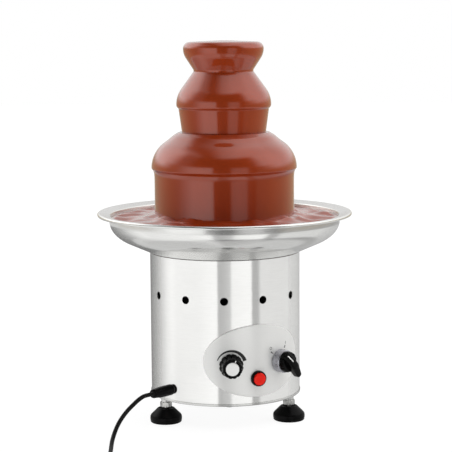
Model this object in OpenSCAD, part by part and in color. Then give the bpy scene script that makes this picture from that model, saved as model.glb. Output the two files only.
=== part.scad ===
// Electric chocolate fountain on three screw feet, shown running.
// The origin is on the floor under the tower's axis, +Z is up and the control panel faces -Y.
// Angles round the axis are counted from the panel, positive towards +X.

/* [Feet] */
// Diameter of a foot pad
pad_d = 40; // [34:1:46]
// Height of the pad's straight side
pad_side_h = 8.6; // [7:0.1:13]
// Height of the whole pad
pad_h = 18; // [16:0.5:24]
// Radius of the pad's top
pad_top_r = 11; // [9:0.5:13]
// Depth of the dish in a pad's top
pad_dish = 2.5; // [1.5:0.1:4]
// Thickness of the pad under the stud's end
pad_floor = 6; // [3:0.5:9]
// Thread diameter of the foot stud
stud_d = 8; // [6:1:9]
// Width across flats of the hexagon on the stud
hex_af = 13; // [11:0.5:16]
// Height of the hexagon on the stud
hex_h = 6.5; // [4:0.5:10]
// Bare stud between the pad and the hexagon
stud_neck = 1.5; // [1:0.5:6]
// Length of stud that stands above the base plate
stud_tail = 14; // [10:1:30]
// Height of the threaded boss under the base plate
boss_h = 3.5; // [2:0.5:8]
// Radius of the threaded boss under the base plate
boss_r = 6; // [5.5:0.5:7]
// Distance of the feet's axes inside the shell's outer face
foot_inset = 5.5; // [5.5:0.5:20]
// Angle of the first foot from the panel
foot_angle = 38.3; // [20:0.1:60]

/* [Housing] */
// Outer radius of the housing shell
shell_r = 95; // [93:0.5:110]
// Sheet thickness of the shell
shell_wall = 1; // [0.6:0.1:2]
// Height of the shell
shell_h = 179.3; // [170:0.1:230]
// Thickness of the base plate
base_t = 1.5; // [1:0.1:3]
// Height of the base plate's rim
base_rim_h = 3; // [2:0.5:6]
// Thickness of the base plate's rim
base_rim_t = 0.7; // [0.5:0.1:1.5]
// Number of cooling holes round the shell
vent_count = 12; // [6:1:18]
// Diameter of a cooling hole
vent_d = 10; // [4:0.5:14]
// Height of the cooling holes above the shell's lower edge
vent_h = 129.5; // [120:0.5:140]
// Angle of the first cooling hole
vent_angle = 4.76; // [0:0.01:30]
// Thread diameter of the housing's screws
screw_d = 4; // [3:0.5:5]

/* [Controls] */
// Width of the oval panel along the shell
panel_w = 139; // [120:1:150]
// Height of the oval panel
panel_h = 90; // [80:1:100]
// Height of the panel's centre above the floor
panel_z = 85.5; // [80:0.5:95]
// Thickness of the panel plate
panel_t = 1.2; // [0.6:0.1:2]
// Angle of each dial from the panel's centre
dial_angle = 20.4; // [18:0.1:24]
// Height of the two dials above the floor
dial_z = 81.5; // [79:0.5:88]
// Diameter of the dials' spindles
spindle_d = 6; // [4:0.5:7]
// Diameter of the thermostat knob's skirt
skirt_d = 32; // [28:0.5:34]
// Diameter of the thermostat knob
knob_d = 27; // [22:0.5:27]
// Height of the thermostat knob
knob_h = 20; // [14:0.5:26]
// Diameter of the disc on the thermostat knob
knob_cap_d = 16.5; // [10:0.5:18]
// Outer diameter of the selector's collar
collar_d = 29; // [26:0.5:34]
// Height of the selector's collar
collar_h = 10; // [6:0.5:14]
// Diameter of the selector knob's disc
lever_disc_d = 26; // [22:0.5:30]
// Reach of the selector's lever from its axis
lever_reach = 25; // [18:0.5:32]
// Direction of the lever, clockwise from straight up
lever_turn = 142; // [90:1:150]
// Reach of the lever's tail behind its axis
lever_tail = 16; // [10:0.5:18]
// Height of the push button above the floor
button_z = 63.5; // [60:0.5:64]
// Diameter of the push button's cap
button_d = 15.5; // [12:0.5:16]
// Outer diameter of the push button's collar
button_collar_d = 19.8; // [19:0.1:22]
// Height of the push button's collar
button_collar_h = 4.6; // [3:0.1:6]

/* [Bowl] */
// Radius of the bowl's straight wall, outside
bowl_r = 146; // [138:0.5:155]
// Sheet thickness of the bowl
bowl_wall = 1; // [0.7:0.1:1.5]
// Radius of the bowl's flat bottom
bowl_flat_r = 80; // [78:0.5:85]
// Slope of the bowl's cone above the flat bottom
bowl_slope = 24; // [18:0.5:28]
// Reach of the bowl's rounded wall
bowl_round_w = 52.5; // [46:0.5:58]
// Height of the bowl's rounded wall
bowl_round_h = 32; // [28:0.5:38]
// Height of the straight wall above the rounded wall
bowl_rise = 5.6; // [4:0.1:8]
// Inside radius of the bend from the wall to the rim
rim_bend_r = 1.5; // [1:0.5:4]
// Slope of the rim
rim_slope = 14; // [5:1:20]
// Length of the rim's straight part
rim_len = 11.6; // [6:0.2:16]
// Outer radius of the rim's rolled edge
rim_roll_r = 2.4; // [2:0.1:4]
// Radius of the hub in the middle of the bowl
hub_r = 13; // [12:0.5:16]
// Height of the hub above the bowl's floor
hub_h = 18; // [14:0.5:24]

/* [Heater] */
// Thickness of the heater ring
heater_t = 4; // [3:0.5:6]
// Inner radius of the heater ring
heater_in_r = 28; // [24:1:36]
// Outer radius of the heater ring
heater_out_r = 60; // [50:1:62]
// Thickness of the heater's clamp plate
clamp_t = 1.5; // [1:0.1:3]
// Distance of the bowl bolts from the axis
bowl_bolt_r = 72; // [70:0.5:74]
// Diameter of the bowl bolts
bowl_bolt_d = 5; // [4:0.5:6]
// Length of the spacers between clamp plate and deck
spacer_h = 13.5; // [12:0.5:20]
// Thickness of the deck that carries the drive
deck_t = 1.5; // [1:0.1:3]

/* [Drive] */
// Diameter of the output shaft
shaft_d = 10; // [8:0.5:11]
// Width across flats of the shaft's driving end
drive_af = 8; // [6:0.5:8]
// Length of the shaft's driving end
drive_len = 18; // [12:1:30]
// Gear module
gear_m = 1; // [0.9:0.05:1.05]
// Teeth of each small gear
pinion_teeth = 16; // [15:1:18]
// Teeth of each large gear
wheel_teeth = 48; // [44:1:49]
// Face width of the motor stage's wheel
wheel_a_t = 7; // [5:0.5:8]
// Face width of the output wheel
wheel_b_t = 8; // [5:0.5:8]
// Inside height of the gearbox
gearbox_h = 25.5; // [25:0.5:34]
// Wall thickness of the gearbox
gearbox_wall = 2.5; // [2:0.1:4]
// Radius of the motor's can
motor_r = 30; // [28:0.5:32]
// Height of the motor's can
motor_h = 58; // [50:1:64]
// Radius of the motor's rotor
rotor_r = 16.8; // [14:0.2:20]
// Radius of the motor's cooling fan
fan_r = 26; // [18:0.5:28]

/* [Tower] */
// Inner radius of the auger tube
tube_r = 22; // [20:0.5:24]
// Wall of the auger tube
tube_wall = 1.5; // [1:0.1:2]
// Height of the auger tube above the bowl's floor
tube_h = 251; // [246:0.5:258]
// Radius of the auger's core
auger_core_r = 8; // [7.5:0.1:10]
// Rise of the auger's blade in one turn
auger_pitch = 40; // [30:1:60]
// Thickness of the auger's blade
blade_t = 2.5; // [1.5:0.1:4]
// Sheet thickness of the tiers and the crown
tier_t = 1.2; // [0.8:0.1:1.6]
// Height of the lower tier's edge above the bowl's floor, as a share of the tube
lower_share = 0.442; // [0.43:0.001:0.45]
// Drop of the middle tier's edge below the tube's top
middle_drop = 60.5; // [58:0.5:63]
// Height of the crown's widest line above the tube's top
crown_rise = 9.6; // [7:0.2:13]

/* [Chocolate] */
// Depth of chocolate in the bowl
pool_depth = 47.1; // [40:0.1:50]
// Thickness of the chocolate on the tiers
film_t = 2.4; // [1.5:0.1:3]
// Thickness of a falling curtain
curtain_t = 3; // [2:0.1:4]
// Widest radius of the lower fall
lower_fall_r = 92.1; // [85:0.1:100]
// Radius of the lower fall where it meets the pool
lower_foot_r = 88.2; // [82:0.1:92]
// Widest radius of the middle fall
middle_fall_r = 59.9; // [56:0.1:64]
// Radius of the middle fall where it lands
middle_foot_r = 53.1; // [50:0.1:56]
// Widest radius of the crown
crown_r = 50.7; // [48:0.1:56]

/* [Mains lead] */
// Angle of the cord gland from the panel
gland_angle = -67.1; // [-80:0.1:-60]
// Height of the cord gland above the floor
gland_z = 47; // [44:0.5:50]
// Radius of the gland's outer flange
gland_r = 7; // [6:0.5:10]
// Length of the tapered boot
boot_len = 34; // [25:1:45]
// Diameter of the mains lead
cord_d = 5.2; // [4:0.1:5.2]
// Turns of the stored lead in each layer
coil_turns = 3.5; // [2.5:1:3.5]
// Radius at which the stored lead turns back
coil_turn_r = 20.5; // [20:0.5:26]
// Free space between neighbouring turns
coil_gap = 0.6; // [0.6:0.1:1]
// Diameter of the plug's body
plug_d = 37; // [30:1:40]
// Height of the plug's body as it lies
plug_h = 16; // [15:0.5:20]
// Diameter of a plug pin
plug_pin_d = 4.8; // [4:0.1:5]
// Length of a plug pin
plug_pin_len = 19; // [17:0.5:20]
// Distance between the plug pins
plug_pin_pitch = 19; // [17:0.5:20]

/* [Hidden] */

$fn = 64;

// Clearances
fit = 0.05;
gap = 0.2;
free_gap = 0.3;

// Feet and base
stud_r = stud_d / 2;
hex_z = pad_h + stud_neck;
base_z = hex_z + hex_h + boss_h;
shell_z = base_z + base_t;
foot_ring_r = shell_r - foot_inset;
shell_in_r = shell_r - shell_wall;
shell_top = shell_z + shell_h;
foot_angles = [for (k = [0:2]) foot_angle + 120 * k];
screw_r = screw_d / 2;
screw_head_r = screw_d * 0.9;
tab_t = 1.5;
tab_w = 12;
tab_ring_r = shell_in_r - 8;
tab_angles = [for (a = foot_angles) a + 60];
floor_hole_r = 4;
floor_hole_count = 8;
floor_hole_ring_r = 62;

// Controls, in distances from the axis
panel_in_r = shell_r + 0.1;
panel_face = panel_in_r + panel_t;
dial_body_w = 28;
dial_body_h = 30;
dial_body_len = 23;
dial_body_lift = 3;
dial_body_face = sqrt(pow(shell_in_r, 2) - pow(dial_body_w / 2, 2)) - free_gap;
dial_neck_r = spindle_d / 2 + 2;
dial_neck_end = panel_face + 2;
spindle_r = spindle_d / 2;
spindle_start = dial_body_face - 16;
knob_z = dial_neck_end + 0.5;
skirt_t = 3;
flute_count = 12;
flute_r = 1.6;
flute_out = 0.6;
cap_t = 2;
collar_z = panel_face + 0.1;
lever_z = collar_z + collar_h + 0.4;
lever_disc_t = 6;
lever_top = 14;
button_r = button_d / 2;
button_bore_r = button_r + free_gap;
button_neck_r = button_bore_r + 0.8;
button_face = panel_face + 0.1;
button_travel = 2.5;
button_len = 19;
button_top = button_face + button_collar_h + 2.4;
switch_face = button_top - button_len - button_travel - 1;
switch_len = 12;

// Bowl
bowl_seat_gap = 0.1;
bowl_z = shell_top + bowl_seat_gap - (shell_in_r - bowl_flat_r) * tan(bowl_slope);
bowl_floor = bowl_z + bowl_wall;
round_start = atan(bowl_round_h / (bowl_round_w * tan(bowl_slope)));
round_r = bowl_r - bowl_round_w;
cone_end_r = round_r + bowl_round_w * cos(round_start);
cone_end_z = bowl_z + (cone_end_r - bowl_flat_r) * tan(bowl_slope);
round_z = cone_end_z + bowl_round_h * sin(round_start);
brim_z = round_z + bowl_rise;
bend_in_r = rim_bend_r + bowl_wall;
hub_flange_r = hub_r + 6;
hub_flange_t = 2;
hub_neck_r = hub_r - 1;
hub_neck_h = 5;
pin_r = 3;
pin_h = 10;
pin_ring_r = tube_r + 8;

// Heater and deck
clamp_z = bowl_z - heater_t - clamp_t;
deck_z = clamp_z - spacer_h - deck_t;
deck_r = shell_in_r - gap;
deck_flange_h = 8;
bowl_bolt_angles = [60, 180, 300];
bolt_r = bowl_bolt_d / 2;
spacer_r = bolt_r + 3;
ear_r = spacer_r + 1;
bolt_head_h = 4;
cutout_r = 8;
cutout_h = 9;
cutout_ring_r = (heater_in_r + heater_out_r) / 2;

// Gear train: the output wheel is on the axis, the idler behind it and the motor beside the idler
shaft_r = shaft_d / 2;
pinion_r = gear_m * pinion_teeth / 2;
wheel_r = gear_m * wheel_teeth / 2;
gear_step = pinion_r + wheel_r;
idler_at = [0, gear_step];
motor_at = [gear_step, gear_step];
tooth_add = 0.85;
tooth_ded = 1.2;
tooth_lean = 20;
tooth_play = 0.14;
wheel_tip_r = wheel_r + tooth_add * gear_m;
case_top = deck_z;
case_z = case_top - gearbox_wall - gearbox_h;
cover_z = case_z - gearbox_wall;
case_room = wheel_tip_r + 3;
case_lo = [-case_room - gearbox_wall, -case_room - gearbox_wall];
case_hi = [gear_step + pinion_r + 6 + gearbox_wall, gear_step + case_room + gearbox_wall];
post_r = screw_r + 3;
posts = [for (x = [case_lo[0] + post_r, case_hi[0] - post_r], y = [case_lo[1] + post_r, case_hi[1] - post_r]) [x, y]];
wheel_a_z = case_z + 1.5;
pinion_b_z = wheel_a_z + wheel_a_t;
wheel_b_z = pinion_b_z + 3;
pinion_b_t = wheel_b_t + 5;
idler_pin_r = 3;
bush_wall = 1.6;
bush_low_h = gearbox_wall + 1;
bush_high_h = gearbox_wall + 3;
hub_bush_h = 10;
seal_h = 8;
seal_z = bowl_floor + 5;
shaft_shoulder = bowl_floor + hub_h + 4;
shaft_top = shaft_shoulder + drive_len;

// Motor
motor_boss_h = 3;
motor_boss_r = 15;
motor_top = cover_z - motor_boss_h;
motor_wall = 1.5;
motor_plate_t = 3;
motor_z = motor_top - motor_h;
end_cover_t = 4;
motor_shaft_r = 4;
stack_h = 32;
stack_z = motor_z + (motor_h - stack_h) / 2;
rotor_air = 0.4;
winding_h = 6;
fan_t = 9;
fan_top = motor_z - end_cover_t - 3;
fan_hub_r = 7;
fan_blades = 5;
motor_shaft_z = fan_top - fan_t - 1;

// Tower and auger
tube_out_r = tube_r + tube_wall;
tube_top = bowl_floor + tube_h;
foot_ring_t = 2;
foot_ring_w = 14;
inlet_h = 20;
inlet_w = 26;
lower_z = bowl_floor + lower_share * tube_h;
middle_z = tube_top - middle_drop;
crown_z = tube_top + crown_rise;
auger_z = bowl_floor + hub_h + 1;
auger_top = crown_z + 1;
blade_r = tube_r - 1;
blade_in_r = auger_core_r + free_gap;
blade_z = auger_z + 2;
blade_top = auger_top - 4;
lower_round = 39.3;
lower_lean = 58;
middle_round = 34;
middle_lean = 36;
middle_tier_top_r = tube_out_r + 9.5;
middle_film_top_r = middle_tier_top_r + 4.5;
lower_film_top_r = middle_foot_r - curtain_t - 2;
crown_round = 22;
crown_lean = 33;
crown_floor_z = crown_z - 25;
crown_film_z = crown_z - 25.8;
crown_lip_r = 8.5;
crown_top = crown_z + crown_lip_r;

// Pool and falls
pool_gap = 0.3;
pool_z = bowl_floor + pool_depth;
pool_in_r = tube_r + foot_ring_w + 2;
lower_tuck = 2.1;
lower_tuck_h = 11.7;
middle_tuck = 2.8;
middle_tuck_h = 10;
well_r = tube_r - 0.6;
well_z = auger_top;

// Mains lead
gland_face = shell_r + 0.1;
gland_flange_t = 4;
gland_neck_r = gland_r - 2;
gland_nut_r = gland_r + 2;
boot_z = gland_face + gland_flange_t;
boot_end = boot_z + boot_len;
boot_r = gland_r - 0.2;
cord_r = cord_d / 2;
boot_end_r = cord_r + 2.2;
coil_pitch = cord_d + coil_gap;
coil_at = [-201, -216];
coil_start = 155;
coil_steps = 24;
lead_sides = 8;
coil_sides = 6;
tie_angle = coil_start + 90;
tie_w = 9;
tie_t = 0.8;
tie_gap = 0.2;
tie_slack = 0.8;
lay_z = tie_t + tie_gap + cord_r;
plug_boot_len = 24;
plug_boot_start_r = cord_r + 1.3;
plug_boot_r = 5.5;
plug_chamfer = 1.5;

// Points of the lead from the boot's end to the coil, as it hangs and lies on the floor
lead_route = [
    [-133.5, -56.4, 47], [-139, -58.7, 46], [-146, -61.5, 43], [-153, -64.3, 39],
    [-160.5, -67.5, 34.5], [-168, -72, 29.5], [-175, -77.5, 24.5], [-181, -83.5, 19.8],
    [-186.5, -90.5, 15.3], [-191.5, -98, 11.5], [-196, -106, 8.3], [-200, -114.5, 5.8],
    [-204, -123.5, 4], [-208, -132.5, 3], [-212, -141.5, 2.7], [-216, -150.5, 2.7],
    [-220.5, -160, 2.7], [-225, -170, 2.9], [-230, -181, 3.3]
];

// Points of an arc from angle a to angle b
function arc(at, w, h, a, b, steps) =
    [for (i = [0:steps]) let (t = a + (b - a) * i / steps) [at[0] + w * cos(t), at[1] + h * sin(t)]];

function reversed(list) = [for (i = [len(list) - 1:-1:0]) list[i]];

// A tier's side: an arc from the vertical edge, then a straight cone up to radius top_r
function shoulder(edge_r, edge_z, bend, lean, top_r, grow) =
    let (
        side = arc([edge_r - bend, edge_z], bend + grow, bend + grow, 0, lean, 10),
        last = side[len(side) - 1]
    )
    concat(side, [[top_r, last[1] + (last[0] - top_r) / tan(lean)]]);

// The crown's side: a straight cone from height low_z, then an arc up to the vertical
function flare(low_z, grow) =
    let (
        side = arc([crown_r - crown_round, crown_z], crown_round + grow, crown_round + grow, -crown_lean, 0, 6),
        first = side[0]
    )
    concat([[first[0] - (first[1] - low_z) * tan(crown_lean), low_z]], side);

// One face of the bowl, from its flat bottom to its rolled edge, inset from the outside by a distance
function bowl_side(inset) =
    let (
        side = arc([round_r, round_z], bowl_round_w - inset, bowl_round_h - inset, -round_start, 0, 10),
        flat_r = side[0][0] - (side[0][1] - bowl_z - inset) / tan(bowl_slope)
    )
    concat([[flat_r, bowl_z + inset]], side);

function bowl_rim(inset) =
    let (
        bend_at = [bowl_r + rim_bend_r, brim_z],
        bend_r = rim_bend_r + inset,
        roll_r = rim_roll_r - bowl_wall + inset,
        turn = 90 + rim_slope,
        roll_at = bend_at + (bend_in_r - rim_roll_r) * [cos(turn), sin(turn)] + rim_len * [cos(rim_slope), sin(rim_slope)]
    )
    concat(
        arc(bend_at, bend_r, bend_r, 180, turn, 5),
        arc(roll_at, roll_r, roll_r, turn, -40, 9)
    );

// Outline of a spur gear with straight-sided teeth, one tooth on the X axis
function gear_outline(teeth) =
    let (
        pitch_r = gear_m * teeth / 2,
        tip_r = pitch_r + tooth_add * gear_m,
        root_r = pitch_r - tooth_ded * gear_m,
        half = gear_m * (PI / 4 - tooth_play),
        tip = (half - tooth_add * gear_m * tan(tooth_lean)) / tip_r * 180 / PI,
        root = (half + tooth_ded * gear_m * tan(tooth_lean)) / root_r * 180 / PI
    )
    [for (i = [0:teeth - 1], p = [[root_r, -root], [tip_r, -tip], [tip_r, tip], [root_r, root]])
        let (a = i * 360 / teeth + p[1]) [p[0] * cos(a), p[0] * sin(a)]];

// Sweep of a round section along points, as points and triangles
function unit(v) = v / norm(v);
function heading(path, i) = unit(path[min(i + 1, len(path) - 1)] - path[max(i - 1, 0)]);
function sweep_points(path, r, sides) =
    [for (i = [0:len(path) - 1])
        let (t = heading(path, i), side = unit(cross(t, [0, 0, 1])), up = cross(side, t))
        for (k = [0:sides - 1])
            path[i] + r * (cos(360 * k / sides) * side + sin(360 * k / sides) * up)];
function sweep_faces(rings, sides) = concat(
    [for (i = [0:rings - 2], k = [0:sides - 1], half = [0, 1])
        let (a = i * sides + k, b = i * sides + (k + 1) % sides)
        half == 0 ? [a, b, b + sides] : [a, b + sides, a + sides]],
    [for (k = [1:sides - 2]) [0, k + 1, k]],
    [for (k = [1:sides - 2]) let (e = (rings - 1) * sides) [e, e + k, e + k + 1]]
);

// The stored lead: it spirals in, climbs a layer in the half turn where it reverses and spirals out on top
function eased(x) = let (c = max(0, min(1, x))) c * c * (3 - 2 * c);
function coil_radius(q) = coil_turn_r + coil_pitch * (abs(q) > 0.25 ? abs(q) : 2 * q * q + 0.125);
function coil_point(q) =
    let (a = coil_start + 360 * (q + coil_turns))
    [
        coil_at[0] + coil_radius(q) * cos(a),
        coil_at[1] + coil_radius(q) * sin(a),
        lay_z + coil_pitch * eased((q + 0.25) / 0.5)
    ];
coil_run = [for (i = [0:coil_steps * 2 * coil_turns]) coil_point(i / coil_steps - coil_turns)];
coil_heading = [-sin(coil_start), cos(coil_start), 0];
coil_first = coil_run[0] - cord_d * coil_heading;
coil_last = coil_run[len(coil_run) - 1] + cord_d * coil_heading;
coil_path = concat([coil_first], coil_run, [coil_last]);
coil_least = min([for (i = [0:len(coil_run) - 1], j = [i + 8:len(coil_run) - 1]) norm(coil_run[i] - coil_run[j])]);
echo(coil_least_gap = coil_least - cord_d);

gland_out = [sin(gland_angle), -cos(gland_angle), 0];
lead_path = concat([gland_out * boot_end + [0, 0, gland_z]], lead_route, [coil_first]);
plug_heading = coil_start + 90;
plug_reach = plug_boot_len + plug_d / 2 - 2;

module ring(outer, inner, h) {
    difference() {
        cylinder(r = outer, h = h);
        translate([0, 0, -1])
            cylinder(r = inner, h = h + 2);
    }
}

module hexagon(af, h) {
    cylinder(r = af / 2 / cos(30), h = h, $fn = 6);
}

module turned(points) {
    rotate_extrude()
        polygon(points);
}

// Places children at an angle round the axis and a distance from it, upright
module around(angle, r) {
    rotate([0, 0, angle])
        translate([0, -r, 0])
            children();
}

// Places children on the shell: X to the right, Y up, Z outwards from the axis
module outwards(angle, z) {
    rotate([0, 0, angle])
        translate([0, 0, z])
            rotate([90, 0, 0])
                children();
}

module radial_hole(angle, z, r) {
    outwards(angle, z)
        translate([0, 0, shell_r - 12])
            cylinder(r = r, h = 24);
}

// Housing
module housing_shell() {
    color("gainsboro")
        difference() {
            union() {
                translate([0, 0, shell_z])
                    ring(shell_r, shell_in_r, shell_h);
                for (a = tab_angles)
                    around(a, 0)
                        shell_tab();
            }
            for (k = [0:vent_count - 1])
                radial_hole(vent_angle + k * 360 / vent_count, shell_z + vent_h, vent_d / 2);
            for (a = [-dial_angle, dial_angle])
                radial_hole(a, dial_z, dial_neck_r + gap);
            radial_hole(0, button_z, button_neck_r + gap);
            radial_hole(gland_angle, gland_z, gland_neck_r + gap);
            for (a = tab_angles)
                around(a, tab_ring_r)
                    translate([0, 0, shell_z - 1])
                        cylinder(r = screw_r + fit, h = tab_t + 2);
        }
}

// An angle welded inside the shell, which a base screw enters
module shell_tab() {
    translate([-tab_w / 2, -shell_in_r - shell_wall / 2, shell_z])
        cube([tab_w, tab_t + shell_wall, 16]);
    translate([-tab_w / 2, -shell_in_r - shell_wall / 2, shell_z])
        cube([tab_w, 15, tab_t]);
}

module base_plate() {
    color("silver")
        difference() {
            union() {
                translate([0, 0, base_z])
                    cylinder(r = shell_r + 0.1 + base_rim_t, h = base_t);
                translate([0, 0, base_z])
                    ring(shell_r + 0.1 + base_rim_t, shell_r + 0.1, base_rim_h);
                for (a = foot_angles)
                    around(a, foot_ring_r)
                        translate([0, 0, base_z - boss_h])
                            cylinder(r = boss_r, h = boss_h + 0.5);
            }
            for (a = foot_angles)
                around(a, foot_ring_r)
                    translate([0, 0, base_z - boss_h - 1])
                        cylinder(r = stud_r + fit, h = boss_h + base_t + 2);
            for (a = tab_angles)
                around(a, tab_ring_r)
                    translate([0, 0, base_z - 1])
                        cylinder(r = screw_r + gap, h = base_t + 2);
            for (k = [0:floor_hole_count - 1])
                around(k * 360 / floor_hole_count, floor_hole_ring_r)
                    translate([0, 0, base_z - 1])
                        cylinder(r = floor_hole_r, h = base_t + 2);
        }
}

module base_screws() {
    color("dimgray")
        for (a = tab_angles)
            around(a, tab_ring_r)
                pan_screw(base_z, base_t + tab_t + 4);
}

// A screw that points up, with the underside of its head at height z
module pan_screw(z, len) {
    translate([0, 0, z - screw_r])
        cylinder(r = screw_head_r, h = screw_r);
    translate([0, 0, z - 0.5])
        cylinder(r = screw_r, h = len + 0.5);
}

// Feet
module foot_pad(k) {
    r = pad_d / 2;
    color("black")
        around(foot_angles[k], foot_ring_r)
            turned(concat(
                [[0, 0]],
                arc([r - 2, 2], 2, 2, -90, 0, 4),
                [
                    [r, pad_side_h],
                    [pad_top_r, pad_h],
                    [pad_top_r - 1.5, pad_h],
                    [stud_r + 1.5, pad_h - pad_dish],
                    [stud_r + fit, pad_h - pad_dish],
                    [stud_r + fit, pad_floor],
                    [0, pad_floor]
                ]
            ));
}

module foot_stud(k) {
    color("silver")
        around(foot_angles[k], foot_ring_r) {
            translate([0, 0, pad_floor])
                cylinder(r = stud_r, h = base_z + base_t + stud_tail - pad_floor);
            translate([0, 0, hex_z])
                hexagon(hex_af, hex_h);
        }
}

// Control panel, an oval plate bent round the shell
module control_panel() {
    oval = [for (a = [0:6:354])
        let (u = panel_w / 2 * cos(a), v = panel_h / 2 * sin(a))
        [panel_face * sin(u / panel_face * 180 / PI), panel_z + v]];
    color("lightgray")
        difference() {
            intersection() {
                ring(panel_face, panel_in_r, panel_z + panel_h);
                translate([0, -panel_in_r + 40, 0])
                    rotate([90, 0, 0])
                        linear_extrude(height = 60)
                            polygon(oval);
            }
            for (a = [-dial_angle, dial_angle])
                radial_hole(a, dial_z, dial_neck_r + gap);
            radial_hole(0, button_z, button_neck_r + gap);
        }
}

// A block behind the panel, with a neck through it that carries a dial's spindle
module dial_body() {
    difference() {
        union() {
            translate([-dial_body_w / 2, dial_body_lift - dial_body_h / 2, dial_body_face - dial_body_len])
                cube([dial_body_w, dial_body_h, dial_body_len]);
            translate([0, 0, dial_body_face - 1])
                cylinder(r = dial_neck_r, h = dial_neck_end - dial_body_face + 1);
        }
        translate([0, 0, spindle_start])
            cylinder(r = spindle_r + fit, h = dial_neck_end - spindle_start + 1);
    }
}

module thermostat_body() {
    color("dimgray")
        outwards(-dial_angle, dial_z)
            dial_body();
}

module thermostat_knob() {
    color([0.08, 0.08, 0.08])
        outwards(-dial_angle, dial_z) {
            difference() {
                union() {
                    translate([0, 0, knob_z])
                        cylinder(r1 = skirt_d / 2, r2 = skirt_d / 2 - 1, h = skirt_t);
                    translate([0, 0, knob_z + 1])
                        cylinder(r = knob_d / 2, h = knob_h - 1);
                }
                for (k = [0:flute_count - 1])
                    rotate([0, 0, k * 360 / flute_count])
                        translate([knob_d / 2 + flute_out, 0, knob_z + skirt_t + 0.5])
                            cylinder(r = flute_r, h = knob_h);
                translate([0, 0, knob_z + knob_h - cap_t / 2])
                    cylinder(r = knob_cap_d / 2 + fit, h = cap_t);
            }
            translate([0, 0, spindle_start])
                cylinder(r = spindle_r, h = knob_z - spindle_start + 1);
        }
}

module thermostat_cap() {
    color("whitesmoke")
        outwards(-dial_angle, dial_z)
            translate([0, 0, knob_z + knob_h - cap_t / 2])
                cylinder(r1 = knob_cap_d / 2, r2 = knob_cap_d / 2 - 0.6, h = cap_t);
}

module selector_body() {
    color("dimgray")
        outwards(dial_angle, dial_z)
            dial_body();
}

module selector_collar() {
    color("silver")
        outwards(dial_angle, dial_z)
            translate([0, 0, collar_z])
                difference() {
                    cylinder(r1 = collar_d / 2, r2 = collar_d / 2 - 0.8, h = collar_h);
                    translate([0, 0, -1])
                        cylinder(r = dial_neck_r + gap, h = collar_h + 2);
                }
}

module selector_knob() {
    root_w = 11;
    tip_w = 6;
    color([0.08, 0.08, 0.08])
        outwards(dial_angle, dial_z) {
            difference() {
                translate([0, 0, lever_z])
                    cylinder(r = lever_disc_d / 2, h = lever_disc_t);
                for (k = [0:flute_count - 1])
                    rotate([0, 0, k * 360 / flute_count])
                        translate([lever_disc_d / 2 + flute_out, 0, lever_z + 1])
                            cylinder(r = flute_r, h = lever_disc_t);
            }
            translate([0, 0, lever_z + 1])
                rotate([0, 0, -lever_turn])
                    intersection() {
                        linear_extrude(height = lever_top)
                            polygon([
                                [-root_w / 2, -lever_tail], [root_w / 2, -lever_tail],
                                [root_w / 2, 6], [tip_w / 2, lever_reach], [-tip_w / 2, lever_reach], [-root_w / 2, 6]
                            ]);
                        rotate([90, 0, 90])
                            translate([0, 0, -root_w])
                                linear_extrude(height = 2 * root_w)
                                    polygon([
                                        [-lever_tail - 1, 0], [lever_reach + 1, 0], [lever_reach + 1, lever_top - 5],
                                        [lever_disc_d / 4, lever_top], [-lever_tail - 1, lever_top - 8]
                                    ]);
                    }
            translate([0, 0, spindle_start])
                cylinder(r = spindle_r, h = lever_z - spindle_start + 1);
        }
}

// Push button
module button_collar() {
    color([0.1, 0.1, 0.1])
        outwards(0, button_z)
            difference() {
                union() {
                    translate([0, 0, button_face])
                        cylinder(r1 = button_collar_d / 2, r2 = button_collar_d / 2 - 0.6, h = button_collar_h);
                    translate([0, 0, switch_face])
                        cylinder(r = button_neck_r, h = button_face - switch_face + 1);
                }
                translate([0, 0, switch_face - 1])
                    cylinder(r = button_bore_r, h = button_top);
            }
}

module button_switch() {
    color("dimgray")
        outwards(0, button_z)
            translate([0, 0, switch_face - switch_len])
                cylinder(r = button_neck_r, h = switch_len);
}

module button_cap() {
    color("red")
        outwards(0, button_z)
            turned(concat(
                [[0, button_top - button_len], [button_r, button_top - button_len]],
                arc([button_r - 1.5, button_top - 1.5], 1.5, 1.5, 0, 90, 4),
                [[0, button_top]]
            ));
}

// Bowl
module bowl() {
    color("gainsboro") {
        turned(concat(
            [[hub_neck_r + gap, bowl_z]],
            bowl_side(0), bowl_rim(0),
            reversed(bowl_rim(bowl_wall)), reversed(bowl_side(bowl_wall)),
            [[hub_neck_r + gap, bowl_floor]]
        ));
        for (a = foot_angles)
            around(a, pin_ring_r)
                translate([0, 0, bowl_floor - bowl_wall / 2])
                    cylinder(r = pin_r, h = pin_h + bowl_wall / 2);
    }
}

module bowl_hub() {
    color("silver")
        difference() {
            union() {
                translate([0, 0, bowl_floor])
                    cylinder(r = hub_flange_r, h = hub_flange_t);
                translate([0, 0, bowl_z - hub_neck_h])
                    cylinder(r = hub_neck_r, h = hub_neck_h + bowl_wall + 1);
                translate([0, 0, bowl_floor + 1])
                    cylinder(r = hub_r, h = hub_h - 1);
            }
            translate([0, 0, bowl_z - hub_neck_h - 1])
                cylinder(r = hub_bush_r() + fit, h = hub_neck_h + bowl_wall + hub_h + 2);
        }
}

function hub_bush_r() = shaft_r + fit + 3;

module shaft_seal() {
    color("black")
        translate([0, 0, seal_z])
            ring(hub_bush_r(), shaft_r + fit, seal_h);
}

module bowl_bolts() {
    color("dimgray")
        for (a = bowl_bolt_angles)
            around(a, bowl_bolt_r) {
                translate([0, 0, deck_z - bolt_head_h])
                    hexagon(2 * bowl_bolt_d - 2, bolt_head_h);
                translate([0, 0, deck_z - 1])
                    cylinder(r = bolt_r, h = bowl_z - deck_z + 1);
            }
}

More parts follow.
